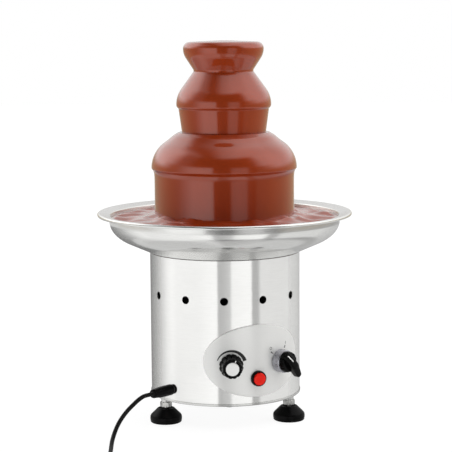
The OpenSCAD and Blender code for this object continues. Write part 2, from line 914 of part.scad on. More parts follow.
module bowl_spacers() {
    color("silver")
        for (a = bowl_bolt_angles)
            around(a, bowl_bolt_r)
                translate([0, 0, deck_z + deck_t])
                    ring(spacer_r, bolt_r + gap, spacer_h);
}

// Heater
module heater_ring() {
    color("gray")
        translate([0, 0, bowl_z - heater_t])
            ring(heater_out_r, heater_in_r, heater_t);
}

module heater_clamp() {
    color("silver")
        translate([0, 0, clamp_z])
            difference() {
                union() {
                    cylinder(r = heater_out_r + 2, h = clamp_t);
                    for (a = bowl_bolt_angles)
                        around(a, bowl_bolt_r) {
                            cylinder(r = ear_r, h = clamp_t);
                            translate([-ear_r, 0, 0])
                                cube([2 * ear_r, bowl_bolt_r - heater_in_r - 10, clamp_t]);
                        }
                }
                translate([0, 0, -1])
                    cylinder(r = heater_in_r - 2, h = clamp_t + 2);
                for (a = bowl_bolt_angles)
                    around(a, bowl_bolt_r)
                        translate([0, 0, -1])
                            cylinder(r = bolt_r + gap, h = clamp_t + 2);
            }
}

module thermal_cutout() {
    color("black")
        around(-60, cutout_ring_r)
            translate([0, 0, clamp_z - cutout_h])
                cylinder(r = cutout_r, h = cutout_h);
}

module deck_plate() {
    color("silver")
        difference() {
            union() {
                translate([0, 0, deck_z])
                    cylinder(r = deck_r, h = deck_t);
                translate([0, 0, deck_z - deck_flange_h])
                    ring(deck_r, deck_r - deck_t, deck_flange_h + deck_t / 2);
            }
            translate([0, 0, deck_z - 1])
                cylinder(r = shaft_r + 6, h = deck_t + 2);
            for (a = bowl_bolt_angles)
                around(a, bowl_bolt_r)
                    translate([0, 0, deck_z - 1])
                        cylinder(r = bolt_r + gap, h = deck_t + 2);
            for (p = posts)
                translate([p[0], p[1], deck_z - 1])
                    cylinder(r = screw_r + fit, h = deck_t + 2);
        }
}

// Gearbox
module gearbox_block(z, h, inset) {
    translate([case_lo[0] + inset, case_lo[1] + inset, z])
        cube([case_hi[0] - case_lo[0] - 2 * inset, case_hi[1] - case_lo[1] - 2 * inset, h]);
}

module screw_holes(z, h) {
    for (p = posts)
        translate([p[0], p[1], z - 1])
            cylinder(r = screw_r + gap, h = h + 2);
}

module at(place, z) {
    translate([place[0], place[1], z])
        children();
}

module gearbox_case() {
    color("lightslategray")
        difference() {
            union() {
                difference() {
                    gearbox_block(case_z, case_top - case_z, 0);
                    gearbox_block(case_z - 1, gearbox_h + 1, gearbox_wall);
                }
                for (p = posts)
                    at(p, case_z)
                        cylinder(r = post_r, h = gearbox_h + 1);
            }
            screw_holes(case_z, case_top - case_z);
            at([0, 0], case_top - gearbox_wall - 1)
                cylinder(r = shaft_r + fit + bush_wall + fit, h = gearbox_wall + 2);
            at(idler_at, case_top - gearbox_wall - 1)
                cylinder(r = idler_pin_r + fit, h = gearbox_wall + 2);
        }
}

module gearbox_cover() {
    color("lightslategray")
        difference() {
            gearbox_block(cover_z, gearbox_wall, 0);
            screw_holes(cover_z, gearbox_wall);
            at([0, 0], cover_z - 1)
                cylinder(r = shaft_r + fit + bush_wall + fit, h = gearbox_wall + 2);
            at(idler_at, cover_z - 1)
                cylinder(r = idler_pin_r + fit, h = gearbox_wall + 2);
            at(motor_at, cover_z - 1)
                cylinder(r = pinion_r + 2, h = gearbox_wall + 2);
        }
}

module gearbox_screws() {
    color("dimgray")
        for (p = posts)
            at(p, 0)
                pan_screw(cover_z, deck_z + deck_t + 2 - cover_z);
}

module shaft_bushes() {
    color("peru") {
        at([0, 0], cover_z)
            ring(shaft_r + fit + bush_wall, shaft_r + fit, bush_low_h);
        at([0, 0], case_top - bush_high_h)
            ring(shaft_r + fit + bush_wall, shaft_r + fit, bush_high_h);
        at([0, 0], bowl_z - hub_neck_h)
            ring(hub_bush_r(), shaft_r + fit, hub_bush_h);
    }
}

module output_shaft() {
    color("silver") {
        at([0, 0], cover_z)
            cylinder(r = shaft_r, h = shaft_shoulder - cover_z);
        at([0, 0], shaft_shoulder - 1)
            hexagon(drive_af, drive_len + 1);
    }
}

module gear(teeth, h, turn) {
    rotate([0, 0, turn])
        linear_extrude(height = h)
            polygon(gear_outline(teeth));
}

module output_gear() {
    color("ivory")
        difference() {
            at([0, 0], wheel_b_z)
                gear(wheel_teeth, wheel_b_t, 90);
            at([0, 0], wheel_b_z - 1)
                cylinder(r = shaft_r + fit, h = wheel_b_t + 2);
        }
}

module idler_pin() {
    color("silver")
        at(idler_at, cover_z)
            cylinder(r = idler_pin_r, h = case_top - cover_z);
}

module idler_cluster() {
    color("ivory")
        difference() {
            union() {
                at(idler_at, wheel_a_z)
                    gear(wheel_teeth, wheel_a_t, 0);
                at(idler_at, pinion_b_z - 0.5)
                    gear(pinion_teeth, pinion_b_t + 0.5, 270 + 180 / pinion_teeth);
            }
            at(idler_at, wheel_a_z - 1)
                cylinder(r = idler_pin_r + fit, h = wheel_a_t + pinion_b_t + 2);
        }
}

// Motor
module motor_can() {
    color("slategray")
        at(motor_at, 0)
            difference() {
                union() {
                    translate([0, 0, motor_z])
                        cylinder(r = motor_r, h = motor_h);
                    translate([0, 0, motor_top - 1])
                        cylinder(r = motor_boss_r, h = motor_boss_h + 1);
                }
                translate([0, 0, motor_z - 1])
                    cylinder(r = motor_r - motor_wall, h = motor_h - motor_plate_t + 1);
                translate([0, 0, motor_z])
                    cylinder(r = motor_shaft_r + fit, h = motor_h + motor_boss_h + 1);
            }
}

module motor_end_cover() {
    color("slategray")
        at(motor_at, motor_z - end_cover_t)
            ring(motor_r, motor_shaft_r + fit, end_cover_t);
}

module motor_stator() {
    core_r = motor_r - motor_wall - gap;
    color("gray")
        at(motor_at, 0) {
            translate([0, 0, stack_z])
                ring(core_r, rotor_r + rotor_air, stack_h);
            translate([0, 0, stack_z - winding_h])
                ring(core_r - 2, rotor_r + 2, stack_h + 2 * winding_h);
        }
}

module motor_shaft() {
    color("silver")
        at(motor_at, 0) {
            translate([0, 0, motor_shaft_z])
                cylinder(r = motor_shaft_r, h = wheel_a_z - motor_shaft_z);
            translate([0, 0, wheel_a_z - 0.5])
                gear(pinion_teeth, wheel_a_t + 1, 180 + 180 / pinion_teeth);
        }
}

module rotor_core() {
    color("gray")
        at(motor_at, stack_z)
            ring(rotor_r, motor_shaft_r + fit, stack_h);
}

module cooling_fan() {
    color([0.15, 0.15, 0.15])
        at(motor_at, fan_top - fan_t)
            difference() {
                union() {
                    cylinder(r = fan_hub_r, h = fan_t);
                    for (k = [0:fan_blades - 1])
                        rotate([0, 0, k * 360 / fan_blades])
                            translate([fan_hub_r - 2, 0, fan_t / 2])
                                rotate([40, 0, 0])
                                    translate([0, -fan_t / 2, -0.6])
                                        cube([fan_r - fan_hub_r + 2, fan_t, 1.2]);
                }
                translate([0, 0, -1])
                    cylinder(r = motor_shaft_r + fit, h = fan_t + 2);
            }
}

// Tower
module auger_tube() {
    color("gainsboro")
        difference() {
            union() {
                translate([0, 0, bowl_floor])
                    cylinder(r = tube_out_r, h = tube_h);
                translate([0, 0, bowl_floor])
                    cylinder(r = tube_r + foot_ring_w, h = foot_ring_t);
            }
            translate([0, 0, bowl_floor - 1])
                cylinder(r = tube_r, h = tube_h + 2);
            for (a = foot_angles) {
                around(a, pin_ring_r)
                    translate([0, 0, bowl_floor - 1])
                        cylinder(r = pin_r + free_gap, h = foot_ring_t + 2);
                around(a + 60, tube_r)
                    translate([-inlet_w / 2, -10, bowl_floor + foot_ring_t + 2])
                        cube([inlet_w, 20, inlet_h]);
            }
        }
}

module lower_tier() {
    collar_r = tube_out_r + gap;
    out = -film_t - gap;
    color("gainsboro")
        turned(concat(
            shoulder(lower_fall_r, lower_z, lower_round, lower_lean, collar_r, out),
            reversed(shoulder(lower_fall_r, lower_z, lower_round, lower_lean, collar_r, out - tier_t))
        ));
}

module middle_tier() {
    collar_r = tube_out_r + gap;
    out = -film_t - gap;
    outside = shoulder(middle_fall_r, middle_z, middle_round, middle_lean, middle_tier_top_r, out);
    inside = shoulder(middle_fall_r, middle_z, middle_round, middle_lean, middle_tier_top_r, out - tier_t);
    color("gainsboro")
        turned(concat(
            outside,
            [[collar_r, outside[len(outside) - 1][1]], [collar_r, inside[len(inside) - 1][1]]],
            reversed(inside)
        ));
}

module crown_cup() {
    out = -film_t - gap;
    color("gainsboro")
        turned(concat(
            [[tube_out_r + gap, crown_floor_z]],
            flare(crown_floor_z, out),
            reversed(flare(crown_floor_z + tier_t, out - tier_t)),
            [[tube_out_r + gap, crown_floor_z + tier_t]]
        ));
}

module auger_core() {
    color("silver")
        difference() {
            translate([0, 0, auger_z])
                cylinder(r = auger_core_r, h = auger_top - auger_z);
            translate([0, 0, auger_z - 1])
                cylinder(r = shaft_r + 0.1, h = shaft_shoulder - auger_z + 1);
            translate([0, 0, shaft_shoulder - 1])
                hexagon(drive_af + 2 * gap, drive_len + 1.5);
        }
}

// The auger's blade, a thin ribbon wound round the core
module auger_blade() {
    steps = 24;
    turns = (blade_top - blade_z) / auger_pitch;
    rings = ceil(turns * steps);
    points = [for (i = [0:rings], p = [[blade_in_r, 0], [blade_r, 0], [blade_r, blade_t], [blade_in_r, blade_t]])
        let (a = 360 * turns * i / rings)
        [p[0] * cos(a), p[0] * sin(a), blade_z + (blade_top - blade_z - blade_t) * i / rings + p[1]]];
    color("silver")
        polyhedron(points = points, faces = sweep_faces(rings + 1, 4));
}

// Chocolate
module chocolate_pool() {
    color([0.45, 0.22, 0.13])
        turned(concat(
            [[pool_in_r, bowl_floor + pool_gap]],
            [for (p = bowl_side(bowl_wall + pool_gap)) if (p[1] < pool_z) p],
            [[bowl_r - bowl_wall - pool_gap - 0.6, pool_z], [pool_in_r, pool_z]]
        ));
}

module chocolate_lower_fall() {
    low = pool_z + pool_gap;
    outside = shoulder(lower_fall_r, lower_z, lower_round, lower_lean, lower_film_top_r, 0);
    inside = shoulder(lower_fall_r, lower_z, lower_round, lower_lean, lower_film_top_r, -film_t);
    color([0.5, 0.25, 0.15])
        turned(concat(
            [[lower_foot_r, low], [lower_fall_r - lower_tuck, lower_z - lower_tuck_h]],
            outside,
            reversed(inside),
            [[lower_fall_r - lower_tuck - curtain_t, lower_z - lower_tuck_h], [lower_foot_r - curtain_t, low]]
        ));
}

module chocolate_middle_fall() {
    landing = shoulder(lower_fall_r, lower_z, lower_round, lower_lean, middle_foot_r - curtain_t, 0);
    low = landing[len(landing) - 1][1] + pool_gap;
    outside = shoulder(middle_fall_r, middle_z, middle_round, middle_lean, middle_film_top_r, 0);
    inside = shoulder(middle_fall_r, middle_z, middle_round, middle_lean, middle_film_top_r, -film_t);
    color([0.5, 0.25, 0.15])
        turned(concat(
            [[middle_foot_r, low], [middle_fall_r - middle_tuck, middle_z - middle_tuck_h]],
            outside,
            reversed(inside),
            [[middle_fall_r - middle_tuck - curtain_t, middle_z - middle_tuck_h], [middle_foot_r - curtain_t, low]]
        ));
}

module chocolate_crown() {
    bore_r = tube_r;
    collar_r = tube_out_r + gap;
    color([0.5, 0.25, 0.15])
        turned(concat(
            flare(crown_film_z, 0),
            arc([crown_r - crown_lip_r, crown_z], crown_lip_r, crown_lip_r, 10, 90, 7),
            [
                [bore_r, crown_top + 1],
                [bore_r, tube_top + gap],
                [collar_r, tube_top + gap],
                [collar_r, crown_floor_z + tier_t + gap]
            ],
            flare(crown_floor_z + tier_t + gap, -film_t - tier_t - 2 * gap),
            [[crown_r - film_t - gap - tier_t - gap, crown_z + gap], [crown_r - film_t, crown_z + gap]],
            reversed(flare(crown_film_z, -film_t))
        ));
}

module chocolate_well() {
    color([0.5, 0.25, 0.15])
        turned([
            [0, well_z], [well_r, well_z], [well_r, crown_top + 1], [well_r / 2, crown_top + 1.6], [0, crown_top + 1.8]
        ]);
}

// Mains lead
module terminal_block() {
    color("ivory")
        around(gland_angle, 52)
            translate([-14, -8, shell_z])
                cube([28, 16, 22]);
}

module cord_gland() {
    nut_face = sqrt(pow(shell_in_r, 2) - pow(gland_nut_r, 2)) - gap;
    color([0.07, 0.07, 0.07])
        outwards(gland_angle, gland_z)
            turned([
                [0, nut_face - 4], [gland_nut_r, nut_face - 4], [gland_nut_r, nut_face], [gland_neck_r, nut_face],
                [gland_neck_r, gland_face], [gland_r, gland_face], [gland_r, boot_z], [boot_r, boot_z],
                [boot_end_r, boot_end], [0, boot_end]
            ]);
}

module cord_lead() {
    color([0.07, 0.07, 0.07])
        polyhedron(points = sweep_points(lead_path, cord_r, lead_sides), faces = sweep_faces(len(lead_path), lead_sides));
}

module cord_coil() {
    color([0.07, 0.07, 0.07])
        polyhedron(points = sweep_points(coil_path, cord_r, coil_sides), faces = sweep_faces(len(coil_path), coil_sides));
}

// A strap closed round the turns on one side of the coil
module cord_tie() {
    in_r = coil_radius(0) - cord_r - tie_slack;
    out_r = coil_radius(coil_turns) + cord_r + tie_slack;
    high = lay_z + coil_pitch + cord_r + tie_gap;
    color([0.1, 0.1, 0.1])
        at(coil_at, 0)
            rotate([0, 0, tie_angle])
                difference() {
                    translate([in_r - tie_t, -tie_w / 2, 0])
                        cube([out_r - in_r + 2 * tie_t, tie_w, high + tie_t]);
                    translate([in_r, -tie_w, tie_t])
                        cube([out_r - in_r, 2 * tie_w, high - tie_t]);
                }
}

// The plug lies on its back, its pins up and its boot in line with the lead's end
module plug_placed() {
    translate([coil_last[0], coil_last[1], 0])
        rotate([0, 0, plug_heading])
            children();
}

module plug_body() {
    boot_h = coil_last[2];
    color([0.07, 0.07, 0.07])
        plug_placed()
            difference() {
                union() {
                    translate([plug_reach, 0, 0])
                        turned([
                            [0, 0], [plug_d / 2 - plug_chamfer, 0], [plug_d / 2, plug_chamfer],
                            [plug_d / 2, plug_h - plug_chamfer], [plug_d / 2 - plug_chamfer, plug_h], [0, plug_h]
                        ]);
                    translate([0, 0, boot_h])
                        rotate([0, 90, 0])
                            cylinder(r1 = plug_boot_start_r, r2 = plug_boot_r, h = plug_boot_len + 4);
                }
                for (s = [-1, 1])
                    translate([plug_reach, s * plug_pin_pitch / 2, plug_h - 8])
                        cylinder(r = plug_pin_d / 2 + fit, h = 10);
            }
}

module plug_pins() {
    color("silver")
        plug_placed()
            for (s = [-1, 1])
                translate([plug_reach, s * plug_pin_pitch / 2, plug_h - 8])
                    cylinder(r = plug_pin_d / 2, h = plug_pin_len + 8);
}

housing_shell();
base_plate();
base_screws();
control_panel();
thermostat_body();
thermostat_knob();
thermostat_cap();
selector_body();
selector_collar();
selector_knob();
button_collar();
button_switch();
button_cap();
foot_pad(0);  // foot_pad_right
foot_pad(1);  // foot_pad_rear
foot_pad(2);  // foot_pad_left
foot_stud(0);  // foot_stud_right
foot_stud(1);  // foot_stud_rear
foot_stud(2);  // foot_stud_left
deck_plate();
bowl();
bowl_bolts();
bowl_spacers();
bowl_hub();
shaft_seal();
heater_ring();
heater_clamp();
thermal_cutout();
gearbox_case();
gearbox_cover();
gearbox_screws();
shaft_bushes();
output_shaft();
output_gear();
idler_pin();
idler_cluster();
motor_can();
motor_end_cover();
motor_stator();
motor_shaft();
rotor_core();
cooling_fan();
auger_tube();
lower_tier();
middle_tier();
crown_cup();
auger_core();
auger_blade();
chocolate_pool();
chocolate_lower_fall();
chocolate_middle_fall();
chocolate_crown();
chocolate_well();
terminal_block();
cord_gland();
cord_lead();
cord_coil();
cord_tie();
plug_body();
plug_pins();
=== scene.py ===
import bmesh
import bpy
import numpy as np
from mathutils import Matrix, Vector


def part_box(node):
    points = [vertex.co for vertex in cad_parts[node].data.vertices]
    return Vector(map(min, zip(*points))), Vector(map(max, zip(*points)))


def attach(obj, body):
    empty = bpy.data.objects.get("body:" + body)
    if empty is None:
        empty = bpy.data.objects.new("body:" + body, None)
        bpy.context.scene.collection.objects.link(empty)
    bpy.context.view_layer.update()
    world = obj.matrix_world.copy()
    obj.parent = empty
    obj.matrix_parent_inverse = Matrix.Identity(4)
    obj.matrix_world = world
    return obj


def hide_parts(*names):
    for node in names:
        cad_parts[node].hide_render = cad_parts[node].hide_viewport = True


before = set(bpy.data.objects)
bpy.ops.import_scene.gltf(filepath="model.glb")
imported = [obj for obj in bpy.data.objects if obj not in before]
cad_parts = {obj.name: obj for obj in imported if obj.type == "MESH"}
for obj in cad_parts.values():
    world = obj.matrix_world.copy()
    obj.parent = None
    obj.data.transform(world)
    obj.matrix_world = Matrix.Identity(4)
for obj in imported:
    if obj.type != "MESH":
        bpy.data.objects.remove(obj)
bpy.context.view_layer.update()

# Camera: a long lens about two metres away, a little higher than the crown and turned to the left
# of the control panel. Its height, distance, tilt and roll are those of the photograph.
MM = 0.001
VIEW_TURN = np.radians(24.5)
VIEW_TILT = np.radians(7.23)
VIEW_ROLL = np.radians(-0.40)
VIEW_PLACE_MM = (-830.9, -1827.5, 496.2)
FOCAL_PIXELS = 1592.2
FRAME_PIXELS = 452

level_right = np.array([np.cos(VIEW_TURN), -np.sin(VIEW_TURN), 0])
level_ahead = np.array([np.sin(VIEW_TURN), np.cos(VIEW_TURN), 0])
ahead = level_ahead * np.cos(VIEW_TILT) - np.array([0, 0, np.sin(VIEW_TILT)])
level_up = np.cross(level_right, ahead)
view_right = level_right * np.cos(VIEW_ROLL) + level_up * np.sin(VIEW_ROLL)
view_up = level_up * np.cos(VIEW_ROLL) - level_right * np.sin(VIEW_ROLL)

lens = bpy.data.cameras.new("camera")
lens.lens = lens.sensor_width * FOCAL_PIXELS / FRAME_PIXELS
camera = bpy.data.objects.new("camera", lens)
place = Matrix(np.column_stack([view_right, view_up, -ahead]).tolist()).to_4x4()
place.translation = [v * MM for v in VIEW_PLACE_MM]
camera.matrix_world = place
scene = bpy.context.scene
scene.collection.objects.link(camera)
scene.camera = camera
scene.view_settings.view_transform = "Standard"


# Studio: a pale floor, a round light tent that the polished steel mirrors, and beyond it a room with a
# soft light behind each shoulder of the object, tall softboxes in front and a dark gap for the camera.
def linear(code):
    """Turns an sRGB hex colour such as "#8a4a30" into linear red, green, blue and alpha."""
    c = np.array([int(code[i:i + 2], 16) for i in (1, 3, 5)]) / 255
    c = np.where(c <= 0.04045, c / 12.92, ((c + 0.055) / 1.055) ** 2.4)
    return (*c.tolist(), 1.0)


def add(tree, kind, sockets=(), stops=(), **settings):
    """Adds a node: settings are its own properties, sockets takes values or other nodes' outputs,
    and stops are a colour ramp's positions and colours."""
    node = tree.nodes.new("ShaderNode" + kind)
    for name, value in settings.items():
        setattr(node, name, value)
    for name, value in dict(sockets).items():
        if isinstance(value, bpy.types.NodeSocket):
            tree.links.new(value, node.inputs[name])
        else:
            node.inputs[name].default_value = value
    for i, (position, colour) in enumerate(stops):
        element = node.color_ramp.elements[i] if i < 2 else node.color_ramp.elements.new(position)
        element.position = position
        element.color = colour
    return node


# Brightness by angle from the camera in degrees, positive to the right. A third value is how warm the light
# is, from 0 to 1. In the room, BOXES are the softboxes, LIGHTS the lights above them, and BEHIND says where
# the lights come down lower. On the tent, the housing mirrors SHELL_GLOW and the bowl BOWL_GLOW. LOW_GLOW is
# the light from below in both.
BOXES = [
    (-180, 0.7), (-168, 0.65, 0.4), (-158, 0.45, 1.0), (-123, 0.62, 1.0), (-105, 0.54, 1.0), (-90, 0.48, 0.8),
    (-80, 0.52, 0.4), (-66, 1.0), (-54, 1.5), (-24, 1.55), (-20, 1.3), (-17, 0.08), (9, 0.06), (14, 0.70),
    (20, 0.80), (36, 0.75), (41, 0.15), (50, 0.06), (56, 0.36, 0.6), (80, 0.46, 1.0), (113, 0.62, 1.0),
    (155, 0.56, 1.0), (168, 0.65, 0.4), (180, 0.7),
]
LIGHTS = [
    (-180, 0.85), (-150, 1.4), (-115, 2.3), (-100, 2.1), (-80, 0.5), (-60, 0.30), (-46, 0.06), (42, 0.06),
    (50, 0.25), (66, 1.9), (90, 2.0), (120, 1.4), (150, 1.2), (180, 0.85),
]
BEHIND = [(-115, 1), (-85, 0), (60, 0), (95, 1)]
SHELL_GLOW = [
    (-180, 0.16), (-154, 0.22), (-134, 0.38), (-120, 0.62), (-109, 0.90), (-99, 1.16), (-89, 1.30),
    (-80, 1.22), (-40, 1.28), (-20, 1.40), (-12.5, 1.42), (-10.5, 0.58), (-5, 0.58), (2, 0.68), (8, 0.80),
    (10, 1.30), (36, 1.38), (40.5, 1.34), (42, 0.50), (51, 0.50), (56, 1.00), (110, 0.92), (118, 0.80),
    (150, 0.62), (180, 0.4),
]
BOWL_GLOW = [
    (-180, 0.60), (-138, 0.82), (-119, 0.86), (-105, 0.96), (-93, 1.10), (-62, 1.19), (-44, 1.22),
    (-27, 1.08), (-19, 0.93), (-11, 0.54), (-3, 0.20), (5, 0.26), (13, 0.34), (21, 0.53), (29, 0.62),
    (46, 0.51), (55, 0.26), (61, 0.45), (73, 0.50), (107, 0.39), (122, 0.42), (180, 0.50),
]
LOW_GLOW = [
    (-180, 0.72), (-60, 0.73), (-44, 0.76), (-32, 0.83), (-20, 0.92), (-13, 0.84), (-8, 0.70), (-3, 0.54),
    (6, 0.58), (25, 0.56), (36, 0.66), (48, 0.66), (60, 0.76), (180, 0.72),
]
# What the warmest light lacks of red, green and blue
WARM_LOSS = np.array([0, 0.16, 0.45])
# Brightness overhead by the share of a direction that points to the camera's right, from -1 to 1
OVERHEAD = [
    (-1, 1.0), (-0.55, 0.8), (-0.42, 0.14), (-0.32, 0.12), (-0.2, 0.45), (-0.12, 0.75), (-0.04, 1.1),
    (0.1, 1.4), (0.25, 1.7), (1, 1.7),
]
# Where one light passes into the next, by the height of a direction of length 1
FRONT_SPAN = (0.20, 0.36)
BEHIND_SPAN = (0.0, 0.22)
CEILING_SPAN = (0.70, 0.86)
GROUND_SPAN = (-0.55, -0.42)
WHITE = (1, 1, 1, 1)


def by_angle(tree, direction, stops):
    """Brightness by a direction's angle round the object, counted from the camera:
    atan2(x, -y) + the camera's turn."""
    axes = add(tree, "SeparateXYZ", {0: direction})
    front = add(tree, "Math", {0: axes.outputs["Y"], 1: -1.0}, operation="MULTIPLY")
    turn = add(tree, "Math", {0: axes.outputs["X"], 1: front.outputs[0]}, operation="ARCTAN2")
    turn = add(tree, "Math", {0: turn.outputs[0], 1: float(VIEW_TURN)}, operation="ADD")
    turn = add(tree, "Math", {0: turn.outputs[0], 1: np.pi, 2: -np.pi}, operation="WRAP")
    turn = add(tree, "MapRange", {0: turn.outputs[0], 1: -np.pi, 2: np.pi})
    ramp = [((a + 180) / 360, (*(v * (1 - WARM_LOSS * sum(warm))), 1)) for a, v, *warm in stops]
    return add(tree, "ValToRGB", {0: turn.outputs[0]}, ramp).outputs[0]


def by_height(tree, height, span, under, over):
    """Passes smoothly from one light to another as the height goes through a span."""
    sockets = {0: height, 1: span[0], 2: span[1]}
    share = add(tree, "MapRange", sockets, interpolation_type="SMOOTHSTEP").outputs[0]
    return add(tree, "Mix", {0: share, 6: under, 7: over}, data_type="RGBA").outputs[2]


world = bpy.data.worlds.new("studio")
world.use_nodes = True
room = world.node_tree
room.nodes.clear()
toward = add(room, "TexCoord").outputs["Generated"]
height = add(room, "SeparateXYZ", {0: toward}).outputs["Z"]
aside = add(room, "VectorMath", {0: toward, 1: level_right.tolist()}, operation="DOT_PRODUCT")
aside = add(room, "MapRange", {0: aside.outputs["Value"], 1: -1.0, 2: 1.0})
ramp = [((a + 1) / 2, (v, v, v, 1)) for a, v in OVERHEAD]
overhead = add(room, "ValToRGB", {0: aside.outputs[0]}, ramp).outputs[0]
boxes, lights, behind, below = (by_angle(room, toward, stops) for stops in (BOXES, LIGHTS, BEHIND, LOW_GLOW))
in_front, at_back = (by_height(room, height, span, boxes, lights) for span in (FRONT_SPAN, BEHIND_SPAN))
shade = add(room, "Mix", {0: behind, 6: in_front, 7: at_back}, data_type="RGBA").outputs[2]
shade = by_height(room, height, CEILING_SPAN, shade, overhead)
shade = by_height(room, height, GROUND_SPAN, below, shade)
seen = add(room, "LightPath").outputs["Is Camera Ray"]
shade = add(room, "Mix", {0: seen, 6: shade, 7: WHITE}, data_type="RGBA").outputs[2]
light = add(room, "Background", {"Color": shade, "Strength": 1.0})
add(room, "OutputWorld", {"Surface": light.outputs[0]})
scene.world = world

# The tent is a round wall of white cloth. The housing mirrors what lies between the two spans of SHELL_SPANS,
# and the bowl what is past them.
FLOOR_REACH = 8.0
FLOOR_GLOW = 0.90
TENT_R, TENT_LOW, TENT_TOP = 0.5, -0.5, 0.206
TENT_SIDES = 96
SHELL_SPANS = (-0.13, -0.07), (0.158, 0.178)
LOW_SPAN = (-0.30, -0.17)
SHELL_MIRROR_R, BOWL_MIRROR_R = 0.095, 0.146


def on_wall(stops, r):
    """Stops moved to where light that leaves radius r at an angle meets the tent: that angle less
    asin(r / TENT_R sin(angle / 2))."""
    return [(a - np.degrees(np.arcsin(r / TENT_R * np.sin(np.radians(a / 2)))), *v) for a, *v in stops]


def circle(steps):
    """Even angles of one full turn, as a column."""
    return np.linspace(0, 2 * np.pi, steps, endpoint=False)[:, None]


def around(r, z, t):
    """Points round the Z axis: (r cos t, r sin t, z)."""
    return np.stack(np.broadcast_arrays(r * np.cos(t), r * np.sin(t), z), -1)


def grid_faces(rows, columns, close_rows=False, close_columns=False):
    """Quads of a grid stored row by row. A closed direction joins its last line to its first."""
    r = np.arange(rows if close_rows else rows - 1)[:, None]
    c = np.arange(columns if close_columns else columns - 1)[None, :]
    r_next, c_next = (r + 1) % rows, (c + 1) % columns
    corners = [r * columns + c, r * columns + c_next, r_next * columns + c_next, r_next * columns + c]
    return np.stack(corners, -1).reshape(-1, 4)


floor_points = around(FLOOR_REACH, 0, circle(TENT_SIDES))
tent_points = around(TENT_R, np.array([TENT_LOW, TENT_TOP]), circle(TENT_SIDES))
for name, points, faces in (
    ("floor", floor_points, np.arange(TENT_SIDES)[None]),
    ("tent", tent_points, grid_faces(TENT_SIDES, 2, close_rows=True)),
):
    white = bpy.data.materials.new("pale_studio_" + name)
    white.use_nodes = True
    tree = white.node_tree
    tree.nodes.clear()
    if name == "floor":
        paint = add(tree, "BsdfDiffuse", {"Color": linear("#707070")}).outputs[0]
        glow = add(tree, "Emission", {"Color": WHITE, "Strength": FLOOR_GLOW}).outputs[0]
        surface = add(tree, "AddShader", {0: paint, 1: glow}).outputs[0]
    else:
        there = add(tree, "TexCoord").outputs["Object"]
        height = add(tree, "SeparateXYZ", {0: there}).outputs["Z"]
        for_shell = by_angle(tree, there, on_wall(SHELL_GLOW, SHELL_MIRROR_R))
        for_bowl = by_angle(tree, there, on_wall(BOWL_GLOW, BOWL_MIRROR_R))
        glow = by_height(tree, height, SHELL_SPANS[0], for_bowl, for_shell)
        glow = by_height(tree, height, SHELL_SPANS[1], glow, for_bowl)
        glow = by_height(tree, height, LOW_SPAN, by_angle(tree, there, LOW_GLOW), glow)
        surface = add(tree, "Emission", {"Color": glow, "Strength": 1.0}).outputs[0]
    add(tree, "OutputMaterial", {"Surface": surface})
    mesh = bpy.data.meshes.new(name)
    mesh.from_pydata(points.reshape(-1, 3).tolist(), [], faces.tolist())
    mesh.materials.append(white)
    sheet = bpy.data.objects.new(name, mesh)
    scene.collection.objects.link(sheet)
    sheet.visible_glossy = name != "floor"
    sheet.visible_camera = sheet.visible_diffuse = sheet.visible_shadow = name == "floor"


# Mains lead: black rubber-sheathed flex, moulded straight into its plug. It hangs from the gland to the
# floor, and the rest is wound in two layers and strapped.
CORD_D = 5.2 * MM
CORD_SIDES = 20
GLAND_ANGLE = np.radians(-67.1)
GLAND_Z = 47 * MM
BOOT_END = 133.1 * MM
LEAD_ROUTE_MM = [
    (-133.5, -56.4, 47), (-139, -58.7, 46), (-146, -61.5, 43), (-153, -64.3, 39),
    (-160.5, -67.5, 34.5), (-168, -72, 29.5), (-175, -77.5, 24.5), (-181, -83.5, 19.8),
    (-186.5, -90.5, 15.3), (-191.5, -98, 11.5), (-196, -106, 8.3), (-200, -114.5, 5.8),
    (-204, -123.5, 4), (-208, -132.5, 3), (-212, -141.5, 2.7), (-216, -150.5, 2.7),
    (-220.5, -160, 2.7), (-225, -170, 2.9), (-230, -181, 3.3),
]
COIL_AT = np.array([-201, -216]) * MM
COIL_START = np.radians(155)
COIL_TURNS = 3.5
COIL_TURN_R = 20.5 * MM
COIL_PITCH = 5.8 * MM
COIL_NEAREST = 0.125
COIL_LOW = 3.6 * MM
TURN_STEPS = 48


def outward(angle):
    """The level direction away from the axis at an angle from the panel, positive towards +X."""
    return np.array([np.sin(angle), -np.cos(angle), 0])


def unit(v):
    """Vectors scaled to length 1."""
    return v / np.linalg.norm(v, axis=-1, keepdims=True)


def smooth_path(knots, spacing):
    """A Catmull-Rom curve through the knots, resampled at even spacing along its length."""
    knots = np.asarray(knots, float)
    p = np.vstack([2 * knots[0] - knots[1], knots, 2 * knots[-1] - knots[-2]])
    t = np.linspace(0, 1, 16, endpoint=False)[None, :, None]
    a, b, c, d = (p[i:len(p) - 3 + i, None] for i in range(4))
    square = (2 * a - 5 * b + 4 * c - d) * t ** 2
    cube = (3 * b - a - 3 * c + d) * t ** 3
    curve = 0.5 * (2 * b + (c - a) * t + square + cube)
    curve = np.vstack([curve.reshape(-1, 3), knots[-1]])
    along = np.concatenate([[0], np.cumsum(np.linalg.norm(np.diff(curve, axis=0), axis=1))])
    even = np.linspace(0, along[-1], max(2, int(along[-1] / spacing) + 1))
    return np.column_stack([np.interp(even, along, curve[:, k]) for k in range(3)])


